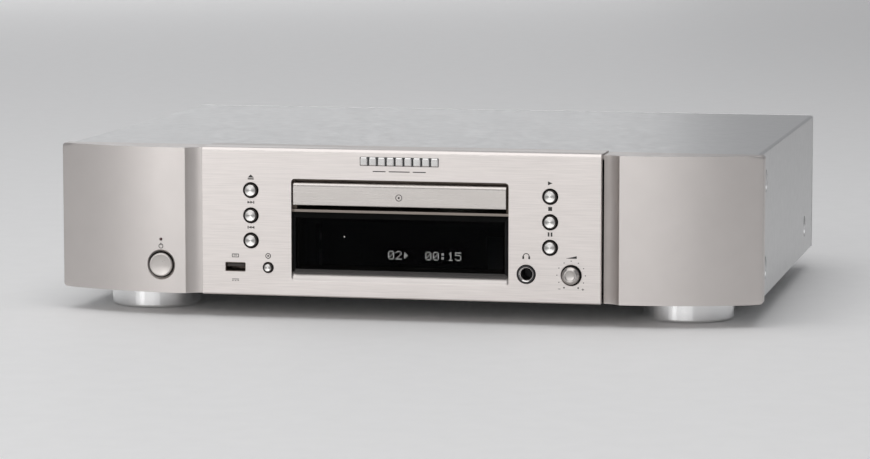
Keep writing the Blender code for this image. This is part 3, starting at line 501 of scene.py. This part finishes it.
def make_fascia():
    """The plate with its openings, the bar between tray and display, and near-black linings in the buttons'
    holes that paint the shade in the gaps round them.
    """
    low, top = FASCIA_LOW.z, FASCIA_HIGH.z
    half, deep = FASCIA_HIGH.x, FASCIA_HIGH.y
    outline = [(1.7, top), (deep, top), (deep, top - 3.0), (FASCIA_THICK, top - 3.0)]
    outline += [(FASCIA_THICK, low + 2.5), (deep, low + 2.5), (deep, low), (0.7, low)]
    outline += [(0.0, low + 0.7), (0.0, top - 1.7)]
    cuts = [window_tool(), bored(5.7, PHONES), bored(6.3, LEVEL), bored(3.3, SOURCE)]
    cuts += [bored(4.75, middle(f"{name}_button")) for name in TRANSPORT]
    slot = rounded(USB.x - 6.45, USB.x + 6.45, USB.z - 2.85, USB.z + 2.85, 0.7)
    cuts.append(prism(slot, "Y", -1.0, FASCIA_THICK + 1.0))
    piece("fascia", prism(outline, "X", -half, half), "fascia",
          nodes=("fascia_plate",), cuts=cuts, bevel=0.3)
    # the bar under the tray, in the darker champagne that paints the tray front's shadow on it
    ledge = box((-WINDOW_HALF - 0.5, WINDOW_HALF + 0.5), (3.5, FASCIA_THICK), (65.7, 67.6))
    piece("window_ledge", ledge, "ledge", bevel=0.3)
    # near-black linings in the holes: painted shade in the gaps round the buttons and the knob
    shade_linings = [(middle(f"{name}_button"), 4.08, 4.9) for name in TRANSPORT]
    shade_linings += [(SOURCE, 2.88, 3.4), (LEVEL, 5.6, 6.4)]
    rings = [shade_lining(at, inner, outer, 0.45, FASCIA_THICK + 0.2) for at, inner, outer in shade_linings]
    piece("button_shade_linings", together(*rings), "shade")


def make_nameplate():
    """Nine rounded polished blocks in a row, a plain ornament."""
    low, high = cad("nameplate")
    count, gap = 9, 0.9
    wide = (high.x - low.x - gap * (count - 1)) / count
    blocks = []
    for index in range(count):
        left = low.x + index * (wide + gap)
        outer = rounded(left, left + wide, low.z, high.z, 0.8)
        inner = rounded(left + 0.5, left + wide - 0.5, low.z + 0.5, high.z - 0.5, 0.5)
        sections = [[(x, y, z) for x, z in line] for line, y in ((outer, 0.1), (outer, -0.7), (inner, low.y))]
        blocks.append(loft(sections))
    back = prism(rounded(low.x - 0.25, high.x + 0.25, low.z - 0.3, high.z + 0.2, 0.6), "Y", -0.25, 0.1)
    piece("nameplate_back", back, "black", bevel=0.1)
    piece("nameplate_ornament", together(*blocks), "plate", nodes=("nameplate",), smooth=30)


def bow(x):
    """How far back a wing's bowed face lies at a distance from the middle."""
    return 0.6 + (abs(x) - BOW_START) ** 2 / BOW_REACH


def fade(value):
    """A smooth step from 0 to 1."""
    value = min(max(value, 0.0), 1.0)
    return value * value * (3 - 2 * value)


def wing_levels(low, top):
    """Heights of a wing's sections, close together round its corners."""
    ends = [WING_CORNER * (1 - math.cos(math.radians(15 * step))) for step in range(7)]
    count = 20
    between = [low + WING_CORNER + (top - low - 2 * WING_CORNER) * step / count for step in range(1, count)]
    return [low + value for value in ends] + between + [top - value for value in reversed(ends)]


def make_wing(side, name):
    """A bowed end moulding with its hollow, and on the left the power button's countersink."""
    low, top = WING_LOW.z, WING_HIGH.z
    half, back = WING_HIGH.x, WING_HIGH.y
    corner_x = half - 0.9
    corner = bow(corner_x)
    shoulder = arc((124.0, -8.0), 14.12, 85.5, 38.5, 16)  # the hollow curve from the fascia to the bow
    outer = [(WING_LOW.x, back)] + shoulder + [(x, bow(x)) for x in span(135.3, corner_x, 48)]
    outer += [(half - 0.24, corner + 0.6), (half, corner + 1.3), (half, back)]
    cavity = [(WING_LOW.x - 1, 12.5), (128.1, 12.5), (128.1, 9.2), (131.5, 8.6)]
    cavity += [(x, bow(x) + 3.4) for x in span(137.2, half - WING_WALL, 12)]
    cavity += [(half - WING_WALL, back + 1), (WING_LOW.x - 1, back + 1)]
    cuts = [prism([(side * x, y) for x, y in cavity], "Z", low + 2.5, top - 2.5)]
    if side < 0:
        tilt = Matrix.Rotation(math.atan(2 * (abs(POWER.x) - BOW_START) / BOW_REACH), 4, "Z")
        sink = turned([(0, -5), (9.6, -5), (9.4, 0.0), (7.9, 1.5), (7.9, 12), (0, 12)], steps=96)
        sink.transform(Matrix.Translation((POWER.x, bow(POWER.x), POWER.z)) @ tilt.inverted())
        lamp = middle("power_led")
        cuts += [sink, rod(1.0, -5.0, 12.0, (lamp.x, 0.0, lamp.z), steps=32)]
        # a near-black lining in the power button's hole: painted shade in the gap round it
        piece("power_shade_lining", shade_lining(POWER, 7.5, 7.95, 2.3, 6.2), "shade")
    sections = []
    taper = 9.0  # how far in from the end the corners draw the outline
    for level in wing_levels(low, top):
        edge = min(level - low, top - level, WING_CORNER)
        pull = WING_CORNER - math.sqrt(WING_CORNER ** 2 - (WING_CORNER - edge) ** 2)
        sections.append([(side * (x - pull * fade((x - half + taper) / taper)), y, level) for x, y in outer])
    piece(f"wing_{name}_moulding", loft(sections), "wing", nodes=(f"wing_{name}",),
          cuts=cuts, bevel=0.4, smooth=30)
    inner, outer = side * (WING_LOW.x - 0.7), side * (WING_LOW.x + 0.5)
    bridge = box(sorted((inner, outer)), (6.6, back), (top - 2.9, top - 0.2))
    piece(f"wing_{name}_bridge", bridge, "wing", bevel=0.15)


def make_lens():
    """The display's window and the four dark slopes round it."""
    near, far = 0.9, 3.3
    face_half, face_low, face_high = 65.4, 31.0, 62.8
    rim_half, rim_low, rim_high = 67.4, 28.0, 65.6
    block = prism(rounded(-65.35, 65.35, 31.05, 62.75, 0.5), "Y", near, FASCIA_THICK)
    rear = box((-63.6, 63.6), (FASCIA_THICK - 0.5, cad("display_lens")[1].y), (31.4, 61.6))
    piece("lens", block, "lens", nodes=("display_lens",), adds=[rear], smooth=20)
    corners = []
    upper, lower = (face_high, rim_high), (face_low, rim_low)
    for side, (face_z, rim_z) in ((1, upper), (1, lower), (-1, lower), (-1, upper)):
        face_x, rim_x = side * face_half, side * rim_half
        corners.append([(face_x, near + 0.05, face_z), (rim_x, far, rim_z), (rim_x, FASCIA_THICK, rim_z),
                        (face_x, FASCIA_THICK, face_z)])
    piece("lens_edge", loft(corners), "edge", smooth=20)
    # the upper slope takes the near-black look instead of the glossy edge: painted shade, as it faces down
    piece("lens_edge_top", loft([corners[3], corners[0]]), "shade", smooth=20)


GLYPHS = {
    "0": ".###. #...# #..## #.#.# ##..# #...# .###.",
    "1": "..#.. .##.. ..#.. ..#.. ..#.. ..#.. .###.",
    "2": ".###. #...# ....# ...#. ..#.. .#... #####",
    "5": "##### #.... ####. ....# ....# #...# .###.",
    ":": "..... .##.. .##.. ..... .##.. .##.. .....",
    ">": "..... .#... .##.. .###. .##.. .#... .....",
    " ": "..... ..... ..... ..... ..... ..... .....",
}


def make_digits():
    """Lit dots of a dot-matrix display: a track number, a play mark and the elapsed time."""
    pitch, lit, proud = 0.777, 0.2, 0.12  # dot spacing, half a dot's width, and how far it stands out
    left, low = -9.55, 36.9
    front = cad("display_module")[0].y
    dots = []
    for cell, sign in enumerate("02>  00:15"):
        for row, line in enumerate(GLYPHS[sign].split()):
            for column, mark in enumerate(line):
                if mark == "#":
                    x = left + (cell * 6 + column + 0.5) * pitch
                    z = low + (6.5 - row) * pitch
                    dot = rounded(x - lit, x + lit, z - lit, z + lit, 0.1, 2)
                    dots.append(prism(dot, "Y", front - proud, front))
    dots.append(rod(0.35, front - proud, front, (-37.0, 0.0, 50.2), steps=16))
    piece("display_dots", together(*dots), "digits")
    refined("display_module", "vfd", 0.3)


def make_tray():
    """The tray's metal front with its rolled upper edge, its mark, and the tray behind it."""
    low, high = TRAY_FRONT_LOW, TRAY_FRONT_HIGH
    top, bottom, front = high.z, low.z, low.y
    outline = [(high.y, bottom), (high.y, top)]
    roll, lean = 4.6, 22.0
    centre = (front + roll * math.cos(math.radians(lean)), top - roll)
    outline += arc(centre, roll, 90, 180 - lean, 12) + arc((front + 0.6, bottom + 0.6), 0.6, 180, 270, 4)
    piece("tray_face", prism(outline, "X", low.x, high.x), "tray", "tray",
          ("tray_front",), bevel=0.35, smooth=18)
    marks = [turned([(1.7, 0), (2.1, 0), (2.1, -PRINT), (1.7, -PRINT)], closed=True), rod(0.6, -PRINT, 0.0)]
    disc = together(*marks)
    disc.transform(Matrix.Translation((0.0, front, 76.2)))
    piece("tray_mark", disc, "ink", body="tray")
    make_disc_tray()


def rack_outline(first, count, line_x, back_x):
    """Outline of a rack whose teeth point towards -X."""
    module = 1.5
    pitch, root, tip = math.pi * module, 1.15 * module, 0.9 * module
    half, slope = 0.2 * math.pi * module, math.tan(math.radians(20))
    points = []
    for tooth in range(count):
        y = first + tooth * pitch
        points += [(line_x + root, y - half - root * slope), (line_x - tip, y - half + tip * slope)]
        points += [(line_x - tip, y + half - tip * slope), (line_x + root, y + half + root * slope)]
    return points + [(back_x, points[-1][1]), (back_x, points[0][1])]


def make_disc_tray():
    """The moulded tray: side walls, front lip, rack, two wells for discs and the pickup's slot."""
    disc = middle("turntable")
    bottom, top = 71.5, 76.5
    start, back, half = TRAY_LOW.y, TRAY_HIGH.y, TRAY_HIGH.x
    slot_half = 20.0
    outline = [(-half, start), (half, start), (half, back), (slot_half, back)]
    outline += arc((0.0, disc.y), slot_half, 360, 180, 32) + [(-slot_half, back), (-half, back)]
    inset = 0.05  # keeps the walls' faces clear of the plate's, so that they join cleanly
    walls = [sorted((side * (half - inset), side * (half - 2.2))) for side in (-1, 1)]
    adds = [box(wall, (start + inset, back - inset), (top - 0.5, top + 2.5)) for wall in walls]
    adds.append(box((-62.0, 62.0), (start + 0.1, start + 3.0), (top - 0.5, TRAY_HIGH.z)))
    adds.append(prism(rack_outline(45.0, 32, 48.0, 54.0), "Z", TRAY_LOW.z, bottom + 0.5))
    pocket = [(0, top - 2.4), (60.4, top - 2.4), (60.8, top - 2.0), (60.8, top + 9.0), (0, top + 9.0)]
    recess = [(0, top - 3.4), (40.6, top - 3.4), (41.0, top - 3.0), (41.0, top + 9.0), (0, top + 9.0)]
    cuts = [turned(profile, (0, disc.y, 0), "Z", 128) for profile in (pocket, recess)]
    piece("tray_moulding", prism(outline, "Z", bottom, top), "black", "tray",
          ("disc_tray",), adds=adds, cuts=cuts, late_bevel=0.25)


# ---------------------------------------------------------------- controls and front sockets


def make_buttons():
    """The small buttons, each a spun face in a dark skirt, the power button, its lamp and the knob."""
    caps = [(f"{name}_button", 4.0, 6.0) for name in TRANSPORT] + [("source_button", 2.8, 4.5)]
    for node, cap, flange in caps:
        low, high = cad(node)
        at = middle(node)
        front = low.y
        face = cap - 0.65
        disc = [(0, front + 0.15), (face - 0.5, front + 0.05), (face - 0.25, front), (face, front + 0.2)]
        disc += [(face, front + 0.9), (0, front + 0.9)]
        piece(f"{node}_face", turned(disc, (at.x, 0, at.z)), "spun", node, (node,),
              smooth=50)
        skirt = [(0, front + 0.5), (face, front + 0.5), (cap - 0.1, front + 1.3), (cap, front + 1.5)]
        skirt += [(cap, 5.4), (flange, 5.4), (flange, 7.0), (2.0, 7.0), (2.0, high.y), (0, high.y)]
        piece(f"{node}_skirt", turned(skirt, (at.x, 0, at.z)), "skirt", node, smooth=35)
    end = cad("power_button")[1].y
    profile = [(0, 0.4), (3.0, 0.36), (5.4, 0.22), (6.2, 0.05), (6.6, 0.02), (6.95, 0.14), (7.2, 0.45)]
    profile += [(7.35, 0.9), (7.35, 6.4), (9.0, 6.4), (9.0, 7.6), (2.5, 7.6), (2.5, end), (0, end)]
    piece("power_cap", turned(profile, (POWER.x, 0, POWER.z), steps=96), "cap",
          "power_button", ("power_button",), smooth=50)
    lamp, end = middle("power_led"), cad("power_led")[1].y
    profile = [(0, 0.9), (0.5, 0.95), (0.8, 1.2), (0.85, 1.5), (0.85, end), (0, end)]
    piece("power_lamp", turned(profile, (lamp.x, 0, lamp.z), steps=24), "lamp",
          nodes=("power_led",))
    low, high = cad("level_knob")
    front = low.y
    profile = [(0, front + 0.6), (2.4, front + 0.56), (2.9, front + 0.4), (3.2, front + 0.1), (3.4, front)]
    profile += [(3.7, front + 0.02), (4.0, front + 0.2), (5.1, front + 1.3), (5.3, front + 1.8), (5.3, 3.6)]
    profile += [(3.0, 3.6), (3.0, high.y), (0, high.y)]
    piece("level_cap", turned(profile, (LEVEL.x, 0, LEVEL.z), steps=96), "cap",
          "level_knob", ("level_knob",), smooth=50)


def make_front_sockets():
    """The headphone socket with its funnel, and the USB socket with its tongue."""
    back = cad("headphone_jack")[1].y
    ring = [(0, 15.4), (3.6, 15.4), (3.6, 2.5), (4.6, 2.5), (4.6, -0.7), (4.8, -1.0), (5.15, -1.0)]
    ring += [(5.4, -0.6), (5.4, 8.0), (7.0, 8.0), (7.0, back), (0, back)]
    piece("phones_body", turned(ring, (PHONES.x, 0, PHONES.z), steps=72), "black",
          nodes=("headphone_jack",))
    funnel = [(4.58, -0.75), (4.5, -0.85), (4.35, -0.75), (3.5, 0.15), (3.35, 0.6), (3.35, 3.4), (4.58, 3.4)]
    piece("phones_funnel", turned(funnel, (PHONES.x, 0, PHONES.z), closed=True, steps=72), "funnel",
          smooth=50)
    low, high = cad("usb_socket")
    shell = prism(rounded(low.x, high.x, low.z, high.z, 0.6), "Y", low.y, high.y)
    mouth = box((USB.x - 6.05, USB.x + 6.05), (0.0, 14.0), (USB.z - 2.35, USB.z + 2.35))
    piece("usb_shell", shell, "dark_steel", nodes=("usb_socket",), cuts=[mouth],
          late_bevel=0.12)
    tongue = box((USB.x - 5.6, USB.x + 5.6), (1.6, 14.5), (USB.z, USB.z + 1.9))
    piece("usb_tongue", tongue, "tongue", bevel=0.2)


# ---------------------------------------------------------------- printed marks


def mark_bar(x, z, half_x, half_z):
    """A printed rectangle."""
    return box((x - half_x, x + half_x), (-PRINT, 0.05), (z - half_z, z + half_z))


def mark_ring(x, z, inner, outer):
    """A printed ring."""
    profile = [(inner, 0.05), (outer, 0.05), (outer, -PRINT), (inner, -PRINT)]
    return turned(profile, (x, 0, z), steps=32, closed=True)


def mark_shape(x, z, points):
    """A printed polygon, its points counted from a place on the panel."""
    return prism([(x + a, z + b) for a, b in points], "Y", -PRINT, 0.05)


def mark_arrow(x, z, way, size=1.0):
    """A triangle pointing left or right."""
    return mark_shape(x, z, [(-way * size, -size * 0.85), (way * size, 0.0), (-way * size, size * 0.85)])


def make_marks():
    """Small printed signs by each control, made as thin raised shapes."""
    above = 8.1  # how far a sign stands over its button
    places = {name: middle(f"{name}_button") for name in TRANSPORT}
    x, z = places["eject"].x, places["eject"].z + above
    marks = [mark_shape(x, z, [(-1.9, -0.3), (1.9, -0.3), (0.0, 1.6)]), mark_bar(x, z - 1.1, 1.9, 0.38)]
    for name, way in (("next", 1), ("previous", -1)):
        x, z = places[name].x, places[name].z + above
        marks += [mark_arrow(x - way * 1.2, z, way, 0.95), mark_arrow(x + way * 0.6, z, way, 0.95)]
        marks.append(mark_bar(x + way * 1.85, z, 0.28, 0.85))
    x = places["play"].x
    marks.append(mark_arrow(x, places["play"].z + above, 1, 1.4))
    marks.append(mark_bar(x, places["stop"].z + above, 1.2, 1.2))
    marks += [mark_bar(x + step, places["pause"].z + above, 0.5, 1.25) for step in (-0.9, 0.9)]
    marks += [mark_ring(SOURCE.x, SOURCE.z + 7.2, *radii) for radii in ((1.25, 1.75), (0.15, 0.6))]
    for half_x, z in ((2.2, USB.z + 7.9), (2.2, USB.z + 6.1), (1.1, USB.z + 7.2)):
        marks.append(mark_bar(USB.x, z, half_x, 0.2))
    marks += [mark_bar(USB.x + side * 2.0, USB.z + 7.0, 0.2, 0.75) for side in (-1, 1)]
    marks.append(mark_bar(USB.x, USB.z - 7.6, 2.2, 0.2))
    marks += [mark_bar(USB.x + step, USB.z - 8.5, 0.5, 0.2) for step in (-1.7, 0.0, 1.7)]
    crown = (PHONES.x, PHONES.z + 10.8)
    marks.append(prism(arc(crown, 2.1, 0, 180, 14) + arc(crown, 1.6, 180, 0, 14), "Y", -PRINT, 0.05))
    marks += [mark_bar(PHONES.x + side * 1.85, PHONES.z + 10.1, 0.55, 0.85) for side in (-1, 1)]
    marks.append(mark_shape(LEVEL.x, LEVEL.z + 10.9, [(-3.4, -0.7), (3.4, -0.7), (3.4, 0.9)]))
    dial = 8.7
    for index in range(11):
        angle = math.radians(-150 + 30 * index)
        x, z = LEVEL.x + dial * math.sin(angle), LEVEL.z + dial * math.cos(angle)
        marks.append(rod(0.5 if index in (0, 10) else 0.33, -PRINT, 0.05, (x, 0, z), steps=16))
    marks += [mark_bar(LEVEL.x + side * 7.2, LEVEL.z - 8.4, 0.75, 0.16) for side in (-1, 1)]
    marks.append(mark_bar(LEVEL.x + 7.2, LEVEL.z - 8.4, 0.16, 0.75))
    plate = cad("nameplate")[0].z
    lines = ((-12.5, 4.0), (0.0, 6.5), (12.5, 4.0))
    marks += [mark_bar(step, plate - 3.6, half, 0.28) for step, half in lines]
    piece("printed_marks", together(*marks), "ink")
    z = POWER.z + 11.5
    power = together(mark_ring(POWER.x, z, 1.1, 1.55), mark_bar(POWER.x, z + 1.25, 0.22, 0.8))
    for vert in power.verts:
        vert.co.y += bow(vert.co.x)
    piece("power_mark", power, "ink")


# ---------------------------------------------------------------- case


def cross_screw(at, axis, way, radius=3.4):
    """A domed screw head with a cross recess, facing along an axis."""
    profile = [(0, 0.0), (radius, 0.0), (radius, 0.5), (radius - 0.5, 1.1), (radius * 0.5, 1.45), (0, 1.55)]
    head = turned(profile, axis="Z", steps=32)
    cuts = [box((-a, a), (-b, b), (0.8, 3.0)) for a, b in ((radius * 0.5, 0.4), (0.4, radius * 0.5))]
    angle, about = {"X": (90, "Y"), "Y": (-90, "X")}[axis]
    place = Matrix.Translation(at) @ Matrix.Rotation(math.radians(angle * way), 4, about)
    for shape in (head, *cuts):
        shape.transform(place)
    return head, cuts


def cover_outline(grow=0.0):
    """The folded sheet of the cover, seen from the front; its outside can be made larger."""
    half, top, low, bend, sheet = COVER_HIGH.x + grow, COVER_HIGH.z + grow, COVER_LOW.z, 1.8, 1.2
    outline = [(-half, low)] + arc((-half + bend, top - bend), bend, 180, 90, 8)
    outline += arc((half - bend, top - bend), bend, 90, 0, 8)
    inner, ceiling = COVER_HIGH.x - sheet, COVER_HIGH.z - sheet
    return outline + [(half, low), (inner, low), (inner, ceiling), (-inner, ceiling), (-inner, low)]


def make_cover():
    """The folded steel cover with dimpled side screws and a hem at its back edge."""
    half, back = COVER_HIGH.x, COVER_HIGH.y
    adds, cuts = [], []
    for side in (-1, 1):
        for y, z in COVER_SCREWS:
            adds.append(rod(8.4, *sorted((side * (half - 3.6), side * (half - 0.6))), (0, y, z), "X"))
            dimple = [(0, half + 2), (7.3, half + 2), (7.2, half + 0.05), (7.0, half - 0.15)]
            dimple += [(6.75, half - 1.9), (6.4, half - 2.2), (0, half - 2.2)]
            cuts.append(turned([(r, side * a) for r, a in dimple], (0, y, z), "X"))
    piece("cover", prism(cover_outline(), "Y", COVER_LOW.y, back), "cover",
          nodes=("top_cover",), adds=adds, cuts=cuts, bevel=0.3, segments=2, smooth=30)
    piece("cover_hem", prism(cover_outline(0.3), "Y", back - 1.0, back), "cover", bevel=0.1)
    for side, end in ((-1, "left"), (1, "right")):
        for index, (y, z) in enumerate(COVER_SCREWS):
            head, slots = cross_screw((side * (half - 2.25), y, z), "X", side)
            piece(f"cover_screw_{end}_{index}", head, "cover", cuts=slots)


def make_feet():
    """Four turned feet, each with a rubber ring under it."""
    for end, look, slot in (("front", "foot", "polished_metal"), ("rear", "black", "black_plastic")):
        for side in ("left", "right"):
            node = f"foot_{end}_{side}"
            low, high = cad(node)
            at, radius, top = middle(node), (high.x - low.x) / 2, high.z
            profile = [(0, top), (radius - 0.6, top), (radius - 0.3, top - 0.3), (radius, top - 0.6)]
            profile += [(radius, 2.0), (radius - 0.15, 1.4), (radius - 0.5, 0.9), (radius - 1.0, 0.55)]
            profile += [(radius - 1.8, 0.4), (21.8, 0.4), (21.4, 0.7), (21.4, 3.3), (0, 3.3)]
            piece(f"{node}_turning", turned(profile, (at.x, at.y, 0), "Z", 128), look, nodes=(node,))
            pad = [(0, 0.3), (12.0, 0.3), (12.4, 0.0), (20.4, 0.0), (20.9, 0.4), (21.0, 0.9), (21.0, 3.0)]
            pad.append((0, 3.0))
            pad_node = f"foot_pad_{end}_{side}"
            piece(f"{pad_node}_ring", turned(pad, (at.x, at.y, 0), "Z", 72), "rubber",
                  nodes=(pad_node,))


# Each block behind the rear panel: its range in x and in z, then x, z and ring colour of each socket.
SOCKET_BLOCKS = {
    "analog_jacks": ((164.0, 188.0), (34.0, 78.0), ((176.0, 68.0, "white_ring"), (176.0, 44.0, "red_ring"))),
    "digital_jacks": ((106.0, 150.0), (46.0, 66.0), ((138.0, 56.0, "orange_ring"),)),
    "remote_jacks": ((56.0, 78.0), (36.0, 76.0), ((66.0, 66.0, "black_ring"), (66.0, 46.0, "black_ring"))),
}


def make_rear():
    """The rear panel with its openings and vents, its sockets, switch, inlet and screws."""
    y0, y1 = PANEL_LOW.y, PANEL_HIGH.y
    through = (y0 - 2, y1 + 2)
    inlet = middle("ac_inlet")
    jacks = [(x, z) for _, _, sockets in SOCKET_BLOCKS.values() for x, z, _ in sockets]
    cuts = [rod(4.8, *through, (x, 0, z)) for x, z in jacks]
    cuts += [box((110.6, 121.4), through, (50.6, 61.4)), box((38.6, 45.4), through, (43.6, 48.4))]
    cuts.append(box((inlet.x - 13.4, inlet.x + 13.4), through, (inlet.z - 9.4, inlet.z + 9.4)))
    for column in range(8):
        x = -70.0 + 12.0 * column
        cuts.append(prism(rounded(x - 2.0, x + 2.0, 72.0, 92.0, 1.9), "Y", *through))
    panel = box((PANEL_LOW.x, PANEL_HIGH.x), (y0, y1), (PANEL_LOW.z, PANEL_HIGH.z))
    piece("rear_sheet", panel, "paint", nodes=("rear_panel",), cuts=cuts, late_bevel=0.15)
    make_jacks(y0, y1)
    refined("ac_inlet", "black", 0.5)
    refined("remote_switch", "black", 0.4)
    spots = [(x, z) for z in (98.0, 20.0) for x in (-205.0, -102.0, 0.0, 102.0, 205.0)]
    spots += [(inlet.x - 20.0, inlet.z), (inlet.x + 20.0, inlet.z)]
    spots += [(127.0, 47.0), (176.0, 56.0), (66.0, 56.0)]
    for index, (x, z) in enumerate(spots):
        head, slots = cross_screw((x, y1 - 0.05, z), "Y", 1, 2.9)
        piece(f"rear_screw_{index:02d}", head, "zinc", cuts=slots)


def make_jacks(y0, y1):
    """Socket blocks behind the rear panel, with plated barrels and coloured collars."""
    end = cad("analog_jacks")[1].y
    for node, (x_range, z_range, sockets) in SOCKET_BLOCKS.items():
        adds, cuts = [], [rod(3.0, y0 - 6, y0 + 2, (x, 0, z)) for x, z, _ in sockets]
        if node == "digital_jacks":
            adds = [box((111.0, 121.0), (y0 - 2, y0 + 3.2), (51.0, 61.0))]
            cuts.append(box((112.6, 119.4), (y0 - 8, y0 + 5), (52.6, 59.4)))
        piece(f"{node}_block", box(x_range, (y0 - 14.0, y0 - 0.3), z_range), "black",
              nodes=(node,), adds=adds, cuts=cuts, late_bevel=0.3)
        for x, z, ring in sockets:
            bore, outer = 1.75, 4.4
            barrel = [(bore, y0 - 1), (outer, y0 - 1), (outer, y1 + 1), (outer - 0.25, y1 + 1.1)]
            barrel += [(outer - 0.25, end - 0.5), (outer - 0.6, end), (3.6, end), (3.5, end - 0.3)]
            barrel += [(3.5, y1 + 2), (bore, y1 + 2)]
            metal = "zinc" if node == "remote_jacks" else "gold"
            place = f"{node}_{int(x)}_{int(z)}"
            piece(f"{place}_barrel", turned(barrel, (x, 0, z), closed=True), metal)
            collar = [(4.45, y1 - 0.1), (6.6, y1 - 0.1), (6.6, y1 + 0.6), (6.2, y1 + 1.0), (4.45, y1 + 1.0)]
            piece(f"{place}_collar", turned(collar, (x, 0, z), closed=True), ring)
            core = [(bore, y1 + 2.05), (3.45, y1 + 2.05), (3.45, end - 2.0), (3.2, end - 1.7)]
            core.append((bore, end - 1.7))
            piece(f"{place}_core", turned(core, (x, 0, z), closed=True), ring)


def make_inside():
    """Bevelled copies of what the case hides."""
    widths = {
        # the window bezel takes the dark brown that paints the tray's reflection
        "chassis_base": ("zinc", 0.2), "front_frame": ("black", 0.4), "window_bezel": ("brown_reflection", 0.3),
        "left_button_board": ("board", 0.2), "right_button_board": ("board", 0.2), "level_pot": ("zinc", 0.3),
        "loader_frame": ("black", 0.3), "loading_gear": ("acetal", 0.12), "loading_motor": ("zinc", 0.3),
        "motor_pulley": ("acetal", 0.12), "loading_belt": ("rubber", 0.12), "clamp_bridge": ("zinc", 0.2),
        "clamp_puck": ("acetal", 0.3), "traverse_plate": ("zinc", 0.2), "guide_rod_left": ("chrome", 0.2),
        "guide_rod_right": ("chrome", 0.2), "spindle_motor": ("zinc", 0.3), "feed_motor": ("zinc", 0.3),
        "feed_screw": ("chrome", 0.2), "turntable": ("black", 0.3), "pickup_head": ("black", 0.3),
        "cam_slider": ("acetal", 0.2), "power_transformer": ("zinc", 0.8), "power_board": ("board", 0.2),
        "main_board": ("board", 0.2),
    }
    for node, (look, width) in widths.items():
        refined(node, look, width)


# ---------------------------------------------------------------- stage, lights and camera


def make_stage():
    """A wide pale floor."""
    shape = bmesh.new()
    bmesh.ops.create_grid(shape, x_segments=2, y_segments=2, size=15.0)
    floor = add_object("floor", shape)
    floor.data.materials.append(looks["floor"].material)


def softbox(name, azimuth, elevation, distance, size, radiance):
    """A rectangular light of a radiance, aimed at the player; azimuth 0 is straight in front."""
    data = bpy.data.lights.new(name, "AREA")
    data.shape = "RECTANGLE"
    data.size, data.size_y = size
    data.energy = radiance * math.pi * size[0] * size[1]
    light = bpy.data.objects.new(name, data)
    a, e = math.radians(azimuth), math.radians(elevation)
    target = Vector((0.0, 0.0, 0.06))
    light.location = target + distance * Vector(
        (math.sin(a) * math.cos(e), -math.cos(a) * math.cos(e), math.sin(e))
    )
    light.rotation_euler = (target - light.location).to_track_quat("-Z", "Y").to_euler()
    light.visible_camera = False
    scene.collection.objects.link(light)


def make_lights():
    """A dim even world and six area lights."""
    world = bpy.data.worlds.new("studio")
    world.use_nodes = True
    background = world.node_tree.nodes["Background"]
    background.inputs["Color"].default_value = (0.96, 0.97, 1.0, 1.0)
    background.inputs["Strength"].default_value = 0.33
    scene.world = world
    softbox("front_softbox", -11, 13, 3.2, (3.8, 2.3), 1.05)
    softbox("front_core", -13, 12, 3.1, (2.2, 2.0), 0.30)
    softbox("top_softbox", -10, 74, 2.4, (2.8, 2.0), 1.45)
    softbox("back_softbox", 209, 8, 4.3, (3.6, 1.1), 0.85)
    softbox("foot_strip", -25, 4, 3.0, (0.5, 0.5), 1.8)
    softbox("floor_wash", 190, 62, 5.5, (5.0, 3.0), 0.35)


def make_camera():
    """The photograph's long lens, seen from the right and a little above."""
    data = bpy.data.cameras.new("camera")
    data.lens = 150.37
    data.sensor_width = 36.0
    camera = bpy.data.objects.new("camera", data)
    camera.location = (0.4764, -2.3106, 0.3060)
    camera.rotation_euler = (math.radians(90 - 6.47), 0.0, math.radians(11.955))
    scene.collection.objects.link(camera)
    scene.camera = camera


make_camera()
make_fascia()
make_nameplate()
make_wing(-1, "left")
make_wing(1, "right")
make_lens()
make_digits()
make_tray()
make_buttons()
make_front_sockets()
make_marks()
make_cover()
make_feet()
make_rear()
make_inside()
make_stage()
make_lights()
scene.view_settings.view_transform = "Standard"
